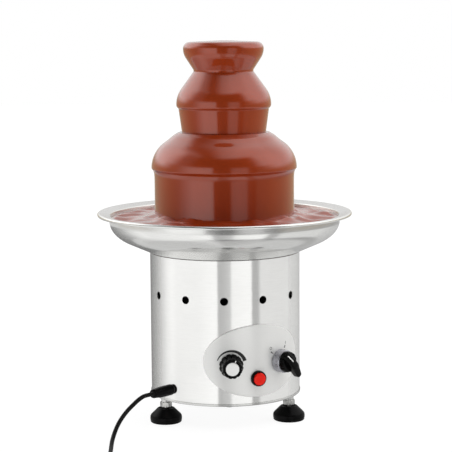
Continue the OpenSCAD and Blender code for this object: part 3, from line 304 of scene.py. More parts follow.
def swept(path, radii, sides):
    """A round section carried along a path, closed by a point at each end:
    point + r (cos k side + sin k up)."""
    heading = unit(np.gradient(path, axis=0))
    side = unit(np.cross(heading, [0, 0, 1]))
    up = np.cross(side, heading)
    k = circle(sides)[None]
    radii = np.concatenate([[0], np.broadcast_to(radii, len(path)), [0]])[:, None, None]
    row = np.concatenate([[0], np.arange(len(path)), [len(path) - 1]])
    points = path[row][:, None] + radii * (np.cos(k) * side[row][:, None] + np.sin(k) * up[row][:, None])
    return points.reshape(-1, 3), grid_faces(len(row), sides, close_columns=True)


def joined(*shapes):
    """Several shapes, each points and faces, as one."""
    starts = np.cumsum([0] + [len(points) for points, _ in shapes[:-1]])
    return np.vstack([p for p, _ in shapes]), np.vstack([f + s for (_, f), s in zip(shapes, starts)])


def piece(name, shape, material, body, nodes=(), sharp=38):
    """Makes an object of a shape: welds seams and poles, turns faces outwards, keeps edges over the sharp
    angle crisp, and rides it on its body in place of its nodes."""
    points, faces = shape
    mesh = bpy.data.meshes.new(name)
    mesh.from_pydata(points.tolist(), [], faces.tolist())
    work = bmesh.new()
    work.from_mesh(mesh)
    bmesh.ops.remove_doubles(work, verts=work.verts, dist=2e-6)
    bmesh.ops.dissolve_degenerate(work, edges=work.edges, dist=1e-7)
    bmesh.ops.recalc_face_normals(work, faces=work.faces)
    work.to_mesh(mesh)
    work.free()
    mesh.shade_smooth()
    mesh.set_sharp_from_angle(angle=np.radians(sharp))
    mesh.materials.append(material)
    made = bpy.data.objects.new(name, mesh)
    scene.collection.objects.link(made)
    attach(made, body)
    if nodes:
        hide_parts(*nodes)
    return made


def coil_path(q):
    """The stored lead by turns from its reversal: it spirals in, climbs a layer and spirals out on top."""
    near = np.abs(q)
    r = COIL_TURN_R + COIL_PITCH * np.where(near > 0.25, near, 2 * q * q + COIL_NEAREST)
    a = COIL_START + 2 * np.pi * (q + COIL_TURNS)
    rise = np.clip((q + 0.25) / 0.5, 0, 1)
    z = COIL_LOW + COIL_PITCH * rise * rise * (3 - 2 * rise)
    return np.column_stack([COIL_AT[0] + r * np.cos(a), COIL_AT[1] + r * np.sin(a), z])


def finish(name, values):
    """Starts a material: sets its shader's values and gives it with its nodes and the place on the piece."""
    material = bpy.data.materials.new(name)
    material.use_nodes = True
    tree = material.node_tree
    for socket, value in values.items():
        tree.nodes["Principled BSDF"].inputs[socket].default_value = value
    return material, tree, add(tree, "TexCoord").outputs["Object"]


def vary(tree, code, roughness, pattern, share=None, span=(0.3, 0.7)):
    """Lets a pattern of noise carry a surface between two tints, by its share, and between two roughnesses,
    over a span of its values."""
    shader = tree.nodes["Principled BSDF"]
    share = pattern if share is None else share
    tint = add(tree, "Mix", {0: share, 6: linear(code[0]), 7: linear(code[1])}, data_type="RGBA")
    sockets = {0: pattern, 1: span[0], 2: span[1], 3: roughness[0], 4: roughness[1]}
    gloss = add(tree, "MapRange", sockets)
    tree.links.new(tint.outputs[2], shader.inputs["Base Color"])
    tree.links.new(gloss.outputs[0], shader.inputs["Roughness"])


# Moulded PVC or rubber: soft-edged black with a faint satin shine and a grain from the mould, which is drawn
# coarser than the real one so that it shows
WORN_MM = 18


def moulded_black(name, code, roughness, grain_mm, depth_mm):
    """A black moulding with a grain of the given size that scatters its highlights, and worn patches."""
    material, tree, place = finish(name, {"Specular IOR Level": 0.07})
    grain = add(tree, "TexNoise", {"Vector": place, "Scale": 1 / (grain_mm * MM), "Detail": 3.0})
    worn = add(tree, "TexNoise", {"Vector": place, "Scale": 1 / (WORN_MM * MM), "Detail": 4.0})
    vary(tree, code, roughness, worn.outputs[0])
    sockets = {"Height": grain.outputs[0], "Strength": 0.25, "Distance": depth_mm * MM}
    bump = add(tree, "Bump", sockets)
    tree.links.new(bump.outputs[0], tree.nodes["Principled BSDF"].inputs["Normal"])
    return material


cord_sheath = moulded_black("black_rubber_sheath", ("#0e0e0e", "#181818"), (0.30, 0.40), 0.8, 0.05)
boot_moulding = moulded_black("black_moulded_boot", ("#050505", "#0b0b0b"), (0.20, 0.30), 0.7, 0.06)

exit_point = outward(GLAND_ANGLE) * BOOT_END + [0, 0, GLAND_Z]
turns = coil_path(np.linspace(-COIL_TURNS, COIL_TURNS, int(COIL_TURNS * 2 * TURN_STEPS) + 1))
coil_heading = np.array([-np.sin(COIL_START), np.cos(COIL_START), 0])
coil_left = np.array([-np.cos(COIL_START), -np.sin(COIL_START), 0])
coil_in = turns[0] - CORD_D * coil_heading
coil_out = turns[-1] + CORD_D * coil_heading
lead = smooth_path(np.vstack([exit_point, np.array(LEAD_ROUTE_MM) * MM, coil_in]), 3 * MM)
cord_line = np.vstack([lead, turns, coil_out])
mains_lead = piece("mains_lead", swept(cord_line, CORD_D / 2, CORD_SIDES), cord_sheath, "housing",
                   ["cord_lead", "cord_coil"], sharp=60)


# Cord gland: a black moulded strain relief that is held in the shell by a flange and a nut. Its boot
# tapers to the lead, with a collar at each end.
def arc(at, radius, start, end, steps):
    """Points of an arc round at, by angles in degrees."""
    t = np.radians(np.linspace(start, end, steps))
    return np.column_stack([at[0] + radius * np.cos(t), at[1] + radius * np.sin(t)])


CORNER_STEPS = 6


def rounded(corners):
    """An outline through corners given as radius, height and rounding: each corner becomes a parabola
    (1-t)^2 a + 2t(1-t) corner + t^2 b between the points where its rounding meets the sides."""
    c = np.asarray(corners, float)
    at, reach = c[:, :2], c[:, 2:3]
    back = np.vstack([at[:1], at[:-1]]) - at
    forth = np.vstack([at[1:], at[-1:]]) - at
    room_back = np.linalg.norm(back, axis=1, keepdims=True)
    room_forth = np.linalg.norm(forth, axis=1, keepdims=True)
    a = at + back / np.maximum(room_back, 1e-9) * np.minimum(reach, 0.49 * room_back)
    b = at + forth / np.maximum(room_forth, 1e-9) * np.minimum(reach, 0.49 * room_forth)
    t = np.linspace(0, 1, CORNER_STEPS)[None, :, None]
    line = (1 - t) ** 2 * a[:, None] + 2 * t * (1 - t) * at[:, None] + t ** 2 * b[:, None]
    return line.reshape(-1, 2)


def turned(outline, steps, closed=False):
    """An outline of radius and height carried round the Z axis."""
    r, z = np.asarray(outline, float).T
    points = around(r, z, circle(steps)).reshape(-1, 3)
    return points, grid_faces(steps, len(r), close_rows=True, close_columns=closed)


def facing(shape, angle, z):
    """Turns a shape made with X right, Y up and Z away from the axis to an angle and height on the housing:
    x right + y up + z outward."""
    points, faces = shape
    right = np.array([np.cos(angle), np.sin(angle), 0])
    placed = points[:, :1] * right + points[:, 1:2] * [0, 0, 1] + points[:, 2:] * outward(angle)
    return placed + [0, 0, z], faces


boot_outline = rounded(np.array([
    (0, 92, 0), (6.5, 92, 0.5), (6.5, 93.2, 0.3), (5.0, 93.2, 0.2), (5.0, 95.1, 0.2), (6.0, 95.1, 0.6),
    (6.0, 98.0, 0.8), (5.2, 98.4, 0.4), (5.2, 99.4, 0.6), (6.9, 100.4, 1.2), (6.9, 118.0, 6.0),
    (5.7, 128.0, 2.0), (5.7, 130.6, 0.6), (5.0, 133.1, 1.2), (2.4, 133.1, 0.4), (0, 132.6, 0),
]) * MM)
cord_gland = piece("gland_boot", facing(turned(boot_outline, 48), GLAND_ANGLE, GLAND_Z), boot_moulding,
                   "housing", ["cord_gland"])
# The brushing of the shell blurs these thin things out of what it mirrors
mains_lead.visible_glossy = cord_gland.visible_glossy = False

# Plug: a flat round moulding that lies on its back, with a ribbed boot in line with the lead and two round
# plated pins that point up. The lead is moulded into it.
PLUG_R = 18.5 * MM
PLUG_H = 16 * MM
PLUG_REACH = 40.5 * MM
PLUG_BOOT = 27 * MM
PLUG_PIN_R = 2.4 * MM
PLUG_PIN_TOP = 35 * MM
PLUG_PIN_HALF = 9.5 * MM
RIB_PITCH, RIB_DEPTH, RIBS_END = 4.2 * MM, 0.45 * MM, 20 * MM


def beside_coil(shape):
    """Places a shape made along +X from the lead's end, on the floor beside the coil."""
    points, faces = shape
    placed = points[:, :1] * coil_heading + points[:, 1:2] * coil_left + points[:, 2:] * [0, 0, 1]
    return placed + [coil_out[0], coil_out[1], 0], faces


def shifted(shape, offset):
    """A shape moved by an offset."""
    return shape[0] + np.asarray(offset), shape[1]


plug_outline = rounded([
    (0, 0, 0), (PLUG_R, 0, 2 * MM), (PLUG_R, 6 * MM, 0.6 * MM), (PLUG_R - 0.8 * MM, 7.5 * MM, 0.5 * MM),
    (PLUG_R - 0.8 * MM, 9 * MM, 0.5 * MM), (PLUG_R, 10.5 * MM, 0.6 * MM), (PLUG_R, PLUG_H, 2.5 * MM),
    (0, PLUG_H, 0),
])
boot_x = np.linspace(0, PLUG_BOOT, 70)
boot_ribs = RIB_DEPTH * np.clip(np.sin(2 * np.pi * boot_x / RIB_PITCH), -0.4, 1) * (boot_x < RIBS_END)
boot_line = np.column_stack([boot_x, 0 * boot_x, 0 * boot_x + coil_out[2]])
plug_shape = joined(
    shifted(turned(plug_outline, 96), (PLUG_REACH, 0, 0)),
    swept(boot_line, 4.3 * MM + 1.0 * MM * boot_x / PLUG_BOOT + boot_ribs, 40),
)
plug = piece("plug_moulding", beside_coil(plug_shape), boot_moulding, "housing", ["plug_body"])


# Plated or turned metal: bright and hard, with faint rubbed streaks
def plated(name, code, roughness, streak_mm):
    """A bright metal whose tint and roughness vary in streaks of the given length, a sixth as high."""
    material, tree, place = finish(name, {"Metallic": 1.0})
    stretch = add(tree, "Mapping", {"Vector": place, "Scale": (1, 1, 6)})
    sockets = {"Vector": stretch.outputs[0], "Scale": 1 / (streak_mm * MM), "Detail": 5.0}
    vary(tree, code, roughness, add(tree, "TexNoise", sockets).outputs[0])
    return material


zinc_plate = plated("bright_zinc_plate", ("#a3a3a0", "#bdbdba"), (0.14, 0.26), 4)
PIN_FOOT = 8 * MM
pin_outline = rounded([
    (0, PIN_FOOT, 0), (PLUG_PIN_R, PIN_FOOT, 0), (PLUG_PIN_R, PLUG_PIN_TOP, 1.6 * MM), (0, PLUG_PIN_TOP, 0),
])
pins_shape = joined(*[shifted(turned(pin_outline, 32), (PLUG_REACH, s * PLUG_PIN_HALF, 0)) for s in (-1, 1)])
plug_pins = piece("plug_contact_pins", beside_coil(pins_shape), zinc_plate, "housing", ["plug_pins"])

# Cord tie: a short hook-and-loop strap of woven nylon. It is closed round one side of the coil and comes
# open by hand.
TIE_W = 9 * MM
TIE_T = 0.8 * MM
TIE_SLACK = 0.8 * MM
tie_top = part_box("cord_tie")[1].z
tie_in = COIL_TURN_R + COIL_PITCH * COIL_NEAREST - CORD_D / 2 - TIE_SLACK - TIE_T
tie_out = COIL_TURN_R + COIL_PITCH * COIL_TURNS + CORD_D / 2 + TIE_SLACK + TIE_T
tie_loop = rounded([
    (tie_in, tie_top / 2, 0), (tie_in, 0, 3 * MM), (tie_out, 0, 3 * MM), (tie_out, tie_top, 3 * MM),
    (tie_in, tie_top, 3 * MM), (tie_in, tie_top / 2, 0),
])[:-CORNER_STEPS]
centre = np.array([(tie_in + tie_out) / 2, tie_top / 2])
half = np.array([(tie_out - tie_in) / 2, tie_top / 2])
tie_inner = centre + (tie_loop - centre) * (1 - TIE_T / half)
across = np.array([(-0.5, 0), (0.5, 0), (0.5, 1), (-0.5, 1)])
section = tie_loop[:, None] * (1 - across[None, :, 1:]) + tie_inner[:, None] * across[None, :, 1:]
width = np.broadcast_to(across[None, :, :1] * TIE_W, section.shape[:2] + (1,))
tie_points = section[..., :1] * coil_heading + width * coil_left + section[..., 1:] * [0, 0, 1]
tie_points = tie_points.reshape(-1, 3) + [*COIL_AT, 0]
tie_weave = moulded_black("black_woven_strap", ("#101010", "#1c1c1c"), (0.75, 0.9), 0.5, 0.12)
tie_faces = grid_faces(len(tie_loop), 4, close_rows=True, close_columns=True)
cord_tie = piece("coil_strap", (tie_points, tie_faces), tie_weave, "housing", ["cord_tie"])
# The shell's mirror image leaves these out as well
cord_tie.visible_glossy = plug.visible_glossy = plug_pins.visible_glossy = False

# Feet: a moulded black pad on each zinc-plated M8 stud, which screws into a boss under the base plate.
# The pad has a rounded sole, a fine groove above it, a conical shoulder and a dished top.
pad_outline = rounded(np.array([
    (0, 0, 0), (18.6, 0, 0.8), (19.8, 1.4, 0.8), (19.4, 2.4, 0.3), (19.4, 2.9, 0.3), (20, 3.4, 0.5),
    (20, 8.6, 2.4), (11.3, 17.2, 1.2), (10.6, 18, 0.8), (9.5, 18, 0.5), (5.6, 15.5, 0.5), (4.1, 15.5, 0.2),
    (4.05, 14, 0),
]) * MM)
stud_outline = rounded(np.array([(0, 13.5, 0), (4, 13.5, 0), (4, 45, 0.8), (0, 45, 0)]) * MM)
HEX_LOW, HEX_HIGH, HEX_FLAT, HEX_CHAMFER = 19.5 * MM, 26 * MM, 13 * MM, 0.7 * MM


def hexagon(steps=96):
    """The stud's hexagon: r = half its width / cos(angle to the nearest flat), turned down at each end to a
    circle that touches the flats."""
    t = circle(steps)
    flat = HEX_FLAT / 2 / np.cos((t + np.pi / 6) % (np.pi / 3) - np.pi / 6)
    end = 0 * t + HEX_FLAT / 2
    r = np.hstack([0 * t, end, flat, flat, end, 0 * t])
    z = np.array([HEX_LOW, HEX_LOW, HEX_LOW + HEX_CHAMFER, HEX_HIGH - HEX_CHAMFER, HEX_HIGH, HEX_HIGH])
    return around(r, z, t).reshape(-1, 3), grid_faces(steps, len(z), close_rows=True)


foot_rubber = moulded_black("black_moulded_foot", ("#030303", "#070707"), (0.24, 0.36), 0.9, 0.05)
feet = {}
for side in ("right", "rear", "left"):
    lo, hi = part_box("foot_pad_" + side)
    at = feet[side] = np.array([(lo.x + hi.x) / 2, (lo.y + hi.y) / 2, 0])
    piece("foot_" + side, shifted(turned(pad_outline, 96), at), foot_rubber, "foot_" + side,
          ["foot_pad_" + side], sharp=30)
    stud = joined(turned(stud_outline, 48), hexagon())
    piece("screw_" + side, shifted(stud, at), zinc_plate, "stud_" + side, ["foot_stud_" + side],
          sharp=25)


# Base plate: pressed stainless sheet with a low rim outside the shell and three threaded bosses for the feet.
# It closes the housing from below.
CLOUD_MM = 60
BRUSH_SPAN = (0.6, 1.4)


# Brushed stainless: a cool bright grey whose mirror images are softened by fine lines, which are drawn
# coarser than the real ones so that they show
def brushed_stainless(name, code, metal, roughness, line_mm, direction, depth_mm):
    """Stainless sheet with brush lines: noise drawn out along the brushing, which is the axis with the
    smallest scale in direction. The lines vary the tint, the gloss and the surface a little."""
    material, tree, place = finish(name, {"Metallic": metal})
    drawn = add(tree, "Mapping", {"Vector": place, "Scale": direction}).outputs[0]
    sockets = {"Vector": drawn, "Scale": 1 / (line_mm * MM), "Detail": 4.0}
    lines = add(tree, "TexNoise", sockets).outputs[0]
    cloud = add(tree, "TexNoise", {"Vector": place, "Scale": 1 / (CLOUD_MM * MM), "Detail": 2.0})
    both = add(tree, "Math", {0: lines, 1: cloud.outputs[0]}, operation="ADD").outputs[0]
    share = add(tree, "MapRange", {0: both, 1: BRUSH_SPAN[0], 2: BRUSH_SPAN[1]}).outputs[0]
    vary(tree, code, roughness, both, share, BRUSH_SPAN)
    bump = add(tree, "Bump", {"Height": lines, "Strength": 0.06, "Distance": depth_mm * MM})
    tree.links.new(bump.outputs[0], tree.nodes["Principled BSDF"].inputs["Normal"])
    return material


base_lo, base_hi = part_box("base_plate")
shell_lo, shell_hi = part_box("housing_shell")
RIM_R = base_hi.x
PLATE_LOW = shell_lo.z - 1.5 * MM
plate_outline = rounded([
    (0, PLATE_LOW, 0), (RIM_R, PLATE_LOW, 0.9 * MM), (RIM_R, base_hi.z, 0.25 * MM),
    (RIM_R - 0.65 * MM, base_hi.z, 0.2 * MM), (RIM_R - 0.65 * MM, shell_lo.z, 0.1 * MM), (0, shell_lo.z, 0),
])
boss_outline = rounded([
    (4.05 * MM, base_lo.z, 0), (6 * MM, base_lo.z, 0.5 * MM), (6 * MM, PLATE_LOW + 0.3 * MM, 0),
    (4.05 * MM, PLATE_LOW + 0.3 * MM, 0),
])
bosses = [shifted(turned(boss_outline, 48, closed=True), at) for at in feet.values()]
# The pan's steel is tinted darker than the shell's. This is painted shade for the dark line where the housing
# meets the base.
pan_steel_painted_shade = brushed_stainless("stainless_pan_painted_shade", ("#c0c0be", "#cbcbc9"), 0.80, (0.10, 0.16), 0.7,
                              (0.05, 0.05, 1), 0.02)
piece("base_pan", joined(turned(plate_outline, 192), *bosses), pan_steel_painted_shade, "housing", ["base_plate"])

# Housing shell: stainless sheet rolled into a drum and brushed across, with a row of punched cooling holes.
# It stands on the base plate, and the bowl sits on its upper edge.
SHELL_R = shell_hi.x
SHELL_WALL = 1.0 * MM
VENTS = 12
VENT_R = 5 * MM
VENT_Z = 160.5 * MM
VENT_FIRST = np.radians(4.76)
VENT_BAND = 14 * MM
VENT_COLUMNS, VENT_ROWS = 17, 7


def drum_with_holes(radius, low, high):
    """A drum unrolled into equal tiles, one for each hole. In the band of the holes a tile is a ring of rows
    that go from the circle of its hole to its own straight edges, and plain grids fill the rest."""
    half_w = np.pi * radius / VENTS
    across = np.linspace(-half_w, half_w, VENT_COLUMNS)
    rise = np.linspace(-VENT_BAND, VENT_BAND, 9)
    low_edge = np.column_stack([across, 0 * across - VENT_BAND])
    side_edge = np.column_stack([0 * rise + half_w, rise])
    edge = np.vstack([low_edge[:-1], side_edge[:-1], -low_edge[:-1], -side_edge[:-1]])
    hole = VENT_R * unit(edge)
    blend = np.linspace(0, 1, VENT_ROWS)[:, None, None] ** 1.5
    tile = (hole * (1 - blend) + edge * blend).reshape(-1, 2)
    tile_faces = grid_faces(VENT_ROWS, len(edge), close_columns=True)
    parts = [(tile + [0, VENT_Z], tile_faces)]
    for z0, z1, rows in ((low, VENT_Z - VENT_BAND, 10), (VENT_Z + VENT_BAND, high, 5)):
        x, z = np.meshgrid(across, np.linspace(z0, z1, rows))
        parts.append((np.column_stack([x.ravel(), z.ravel()]), grid_faces(rows, VENT_COLUMNS)))
    flat, faces = joined(*parts)
    a = flat[None, :, 0] / radius + VENT_FIRST + 2 * np.pi * np.arange(VENTS)[:, None] / VENTS
    points = np.stack([radius * np.sin(a), -radius * np.cos(a), flat[None, :, 1] + 0 * a], -1)
    faces = (faces[None] + len(flat) * np.arange(VENTS)[:, None, None]).reshape(-1, 4)
    return points.reshape(-1, 3), faces


sheet_steel = brushed_stainless("brushed_stainless_sheet", ("#dededc", "#eaeae8"), 0.72, (0.07, 0.12), 0.7,
                                (0.05, 0.05, 1), 0.02)
drum = piece("housing_drum", drum_with_holes(SHELL_R, shell_lo.z, shell_hi.z), sheet_steel, "housing",
             ["housing_shell"], sharp=60)
wall = drum.modifiers.new("sheet", "SOLIDIFY")
wall.thickness = SHELL_WALL
wall.offset = -1
solid = bpy.data.meshes.new_from_object(drum.evaluated_get(bpy.context.evaluated_depsgraph_get()))
drum.modifiers.clear()
drum.data = solid
solid.set_sharp_from_angle(angle=np.radians(38))

# Control panel: a light grey satin plate, cut as an oval and bent round the drum. Its scale and marks are
# screen-printed in black, and the necks of the controls hold it.
panel_lo, panel_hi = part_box("control_panel")
PANEL_R = -panel_lo.y
PANEL_T = 1.2 * MM
PANEL_HALF_W = 69.5 * MM
PANEL_HALF_H = (panel_hi.z - panel_lo.z) / 2
PANEL_Z = (panel_hi.z + panel_lo.z) / 2
DIAL_ANGLE = np.radians(20.4)
DIAL_Z = 81.5 * MM
BUTTON_Z = 63.5 * MM


def wrapped(shape):
    """Bends a flat shape, with X along the panel, Y up and Z off its face, round the drum: angle = x / R."""
    points, faces = shape
    a = points[:, 0] / PANEL_R
    r = PANEL_R + points[:, 2]
    return np.column_stack([r * np.sin(a), -r * np.cos(a), points[:, 1]]), faces


def oval(half_w, half_h, outline, steps=160):
    """A flat oval whose section is given as share of its half sizes and height off the face:
    (half_w share cos t, half_h share sin t, lift)."""
    share, lift = np.asarray(outline, float).T
    points = around(share, lift, circle(steps)) * [half_w, half_h, 1]
    return points.reshape(-1, 3), grid_faces(steps, len(share), close_rows=True)


def satin(name, code, metal, roughness, grain_mm, shine=0.5):
    """A smooth finish with two close tints and a fine grain in its gloss."""
    material, tree, place = finish(name, {"Metallic": metal, "Specular IOR Level": shine})
    sockets = {"Vector": place, "Scale": 1 / (grain_mm * MM), "Detail": 4.0}
    vary(tree, code, roughness, add(tree, "TexNoise", sockets).outputs[0])
    return material


# Anodised panel: pale grey with a soft, wide highlight
panel_finish = satin("satin_anodised_panel", ("#e2e2e0", "#eaeae8"), 0.35, (0.30, 0.38), 1.2)
steps_in = np.linspace(0, 0.99, 24)
panel_outline = np.vstack([
    np.column_stack([steps_in, 0 * steps_in]),
    [(0.994, -0.06 * MM), (0.998, -0.3 * MM), (1, -0.6 * MM), (1, -PANEL_T)],
    np.column_stack([steps_in[::-1], 0 * steps_in - PANEL_T]),
])
panel = shifted(oval(PANEL_HALF_W, PANEL_HALF_H, panel_outline), (0, PANEL_Z, 0))
piece("control_plate", wrapped(panel), panel_finish, "housing", ["control_panel"])

# Screen print: flat black ink
print_ink = satin("black_screen_print", ("#080808", "#0f0f0f"), 0.0, (0.5, 0.6), 0.6)
INK_T = 0.10 * MM


def ribbon(inner, outer):
    """A printed band between two rows of flat points, with its back in the plate."""
    front, back = INK_T, -0.05 * MM
    rows = [np.column_stack([line, 0 * line[:, 0] + z])
            for line, z in ((inner, front), (outer, front), (outer, back), (inner, back))]
    n = len(inner)
    caps = np.array([(0, n, 2 * n, 3 * n), (n - 1, 2 * n - 1, 3 * n - 1, 4 * n - 1)])
    return np.vstack(rows), np.vstack([grid_faces(4, n, close_rows=True), caps])


def bar(at, length, width, angle):
    """A short printed bar at a flat point, along an angle in degrees from the right."""
    a = np.radians(angle)
    along, across = np.array([np.cos(a), np.sin(a)]), np.array([-np.sin(a), np.cos(a)])
    run = np.asarray(at) + np.linspace(-0.5, 0.5, 3)[:, None] * length * along
    return ribbon(run - across * width / 2, run + across * width / 2)


def band(at, radius, start, end, width_from, width_to, steps=64):
    """A printed arc whose width goes evenly from start to end, by angles in degrees from the right."""
    t = np.radians(np.linspace(start, end, steps))
    out = np.column_stack([np.cos(t), np.sin(t)])
    w = np.linspace(width_from, width_to, steps)[:, None]
    return ribbon(np.asarray(at) + (radius - w / 2) * out, np.asarray(at) + (radius + w / 2) * out)


left_dial = np.array([-DIAL_ANGLE * PANEL_R, DIAL_Z])
right_dial = -left_dial * [1, -1]
HEAT_ARC_R = 17.9 * MM
TICK_R = 18.5 * MM
SIGN_R = 23.5 * MM


def by_dial(radius, angle):
    """A flat point near the right dial, by an angle in degrees from the right."""
    return right_dial + radius * np.array([np.cos(np.radians(angle)), np.sin(np.radians(angle))])


# The scale of heat widens round the left dial. The right one has two ticks, an off sign and an on sign.
marks = [band(left_dial, HEAT_ARC_R, 160, 17, 1.0 * MM, 4.6 * MM)]
marks += [bar(by_dial(TICK_R, angle), 3.4 * MM, 1.3 * MM, angle) for angle in (140, 63)]
marks.append(band(by_dial(SIGN_R, 132), 1.5 * MM, 0, 360, 0.45 * MM, 0.45 * MM, 40))
marks.append(bar(by_dial(SIGN_R, 65), 3.6 * MM, 0.55 * MM, 90))
piece("panel_print", wrapped(joined(*marks)), print_ink, "housing")

# Thermostat knob: black phenolic, moulded with a fluted skirt and a taper, with a white disc pressed into its
# face and a white pointer line. It turns on the thermostat's spindle.
FLUTES = 12


def fluted(corners, steps=288):
    """Corners in mm, each with its rounding and the depth of its flutes, turned round Z:
    r - depth * max(0, cos(FLUTES t))^1.5."""
    corners = np.array(corners) * MM
    r, z = rounded(corners[:, :3]).T
    t = circle(steps)
    r = r - np.repeat(corners[:, 3], CORNER_STEPS) * np.maximum(0, np.cos(FLUTES * t)) ** 1.5
    return around(r, z, t).reshape(-1, 3), grid_faces(steps, len(z), close_rows=True)


black_knob = moulded_black("black_phenolic_knob", ("#060606", "#0c0c0c"), (0.16, 0.24), 0.5, 0.03)
knob = fluted([
    (0, 98.8, 0, 0), (14.9, 98.8, 0.4, 0.9), (15.1, 100.4, 0.8, 0.9), (13.9, 102.4, 1.0, 0.5),
    (13.0, 103.4, 1.2, 1.0), (12.4, 117.0, 1.0, 1.0), (11.2, 118.8, 1.2, 0.5), (8.45, 118.8, 0.3, 0),
    (8.4, 117.7, 0.1, 0), (0, 117.7, 0, 0),
])
spindle = turned(np.array([(0, 93), (3, 93), (3, 99), (0, 99)]) * MM, 24)
piece("thermostat_grip", facing(joined(knob, spindle), -DIAL_ANGLE, DIAL_Z), black_knob, "thermostat_dial",
      ["thermostat_knob"], sharp=34)

# White enamel: a clean, even white with a soft shine
white_enamel = satin("white_enamel", ("#f4f4f2", "#fbfbf9"), 0.0, (0.3, 0.4), 2.0)
disc_outline = rounded(np.array([
    (0, 117.8, 0), (8.25, 117.8, 0.1), (8.1, 119.3, 0.5), (7.6, 119.75, 0.4), (0, 119.8, 0),
]) * MM)
piece("thermostat_disc", facing(turned(disc_outline, 96), -DIAL_ANGLE, DIAL_Z), white_enamel,
      "thermostat_dial", ["thermostat_cap"])


def block(lo, hi):
    """A plain box between two corners in mm."""
    k = np.array([(x, y, z) for z in (0, 1) for x, y in ((0, 0), (1, 0), (1, 1), (0, 1))])
    faces = np.array([(0, 1, 2, 3), (4, 5, 6, 7), (0, 1, 5, 4), (1, 2, 6, 5), (2, 3, 7, 6), (3, 0, 4, 7)])
    return (lo + k * np.subtract(hi, lo)) * MM, faces


def spun(shape, degrees):
    """Turns a shape clockwise about Z, seen from outside."""
    a = np.radians(degrees)
    spin = np.array([[np.cos(a), -np.sin(a), 0], [np.sin(a), np.cos(a), 0], [0, 0, 1]])
    return shape[0] @ spin, shape[1]


# The pointer is a paint-filled groove from the disc's edge over the taper
POINTER_TURN = 22
pointer = spun(block((-0.55, 8.8, 118.0), (0.55, 11.1, 118.92)), POINTER_TURN)
piece("thermostat_pointer", facing(pointer, -DIAL_ANGLE, DIAL_Z), white_enamel, "thermostat_dial")

# Selector: a turned aluminium collar fixed to the panel, and a black lever knob that sweeps over it.
# A white line on the lever's back shows the setting. The collar's turning gives it an even, satin grey.
collar_metal = satin("turned_aluminium_collar", ("#a6a6ad", "#b4b4ba"), 0.75, (0.24, 0.32), 1.0)
collar_outline = rounded(np.array([
    (5.3, 96.4, 0), (14.5, 96.4, 0.3), (14.4, 98.0, 0.3), (14.2, 105.2, 0.5), (13.7, 106.4, 0.6),
    (5.3, 106.4, 0),
]) * MM)
piece("selector_ring", facing(turned(collar_outline, 128, closed=True), DIAL_ANGLE, DIAL_Z), collar_metal,
      "housing", ["selector_collar"])

LEVER_TURN = 142
LEVER_LOW = 107.8
LEVER_TAIL, LEVER_TIP, LEVER_END = -16, 25, 3
RIDGE = [-17, -3, 6, 26], [6.5, 12.4, 13.4, 9]


def lofted(stations, sides=48, power=0.45):
    """Sections along Y of a bar that stands on z low: each station is y, half width, low, high. A section is
    x = w |cos k|^p, z = mid + h |sin k|^p with the signs of cos and sin."""
    y, w, low, high = np.asarray(stations, float).T[:, :, None]
    k = circle(sides).T
    x = w * np.sign(np.cos(k)) * np.abs(np.cos(k)) ** power
    z = (low + high) / 2 + (high - low) / 2 * np.sign(np.sin(k)) * np.abs(np.sin(k)) ** power
    points = np.stack([x, y + 0 * k, z], -1)
    return points.reshape(-1, 3), grid_faces(len(stations), sides, close_columns=True)


along = np.concatenate([[LEVER_TAIL], np.linspace(LEVER_TAIL, LEVER_TIP, 42), [LEVER_TIP]])
lever_half_w = np.interp(along, [6, LEVER_TIP], [5.4, 3.2])
lever_high = LEVER_LOW + np.interp(along, *RIDGE)
# Both ends round off over the length LEVER_END
into_end = np.maximum(LEVER_TAIL + LEVER_END - along, along + LEVER_END - LEVER_TIP) / LEVER_END
swell = np.sqrt(1 - np.clip(into_end, 0, 0.97) ** 2)
swell[[0, -1]] = 0
lever_mid = (lever_high + LEVER_LOW) / 2
lever_rise = (lever_high - LEVER_LOW) / 2 * swell ** 0.4
stations = np.column_stack([along, lever_half_w * swell, lever_mid - lever_rise, lever_mid + lever_rise])
lever_disc = fluted([
    (0, 106.8, 0, 0), (12.8, 106.8, 0.4, 0.6), (13, 108.0, 0.5, 1.0), (12.6, 112.2, 0.8, 1.0),
    (11.6, 112.8, 0.6, 0.4), (0, 112.8, 0, 0),
])
lever_spindle = turned(np.array([(0, 93), (3, 93), (3, 107), (0, 107)]) * MM, 24)
lever = joined(spun(lofted(stations * MM), LEVER_TURN), lever_disc, lever_spindle)
piece("selector_lever", facing(lever, DIAL_ANGLE, DIAL_Z), black_knob, "selector_dial", ["selector_knob"],
      sharp=34)
LINE_STEPS, LINE_HALF_W, LINE_DEEP, LINE_PROUD = 9, 0.7, 0.6, 0.06
line_y = np.linspace(-12.2, -2.6, LINE_STEPS)
line_z = LEVER_LOW + np.interp(line_y, *RIDGE) + LINE_PROUD
line_rows = [np.column_stack([0 * line_y + side * LINE_HALF_W, line_y, line_z - deep])
             for side, deep in ((-1, 0), (1, 0), (1, LINE_DEEP), (-1, LINE_DEEP))]
line_end = np.arange(4) * LINE_STEPS
line_faces = np.vstack([grid_faces(4, LINE_STEPS, close_rows=True), line_end, line_end + LINE_STEPS - 1])
lever_line = spun((np.vstack(line_rows) * MM, line_faces), LEVER_TURN)
piece("selector_line", facing(lever_line, DIAL_ANGLE, DIAL_Z), white_enamel, "selector_dial")

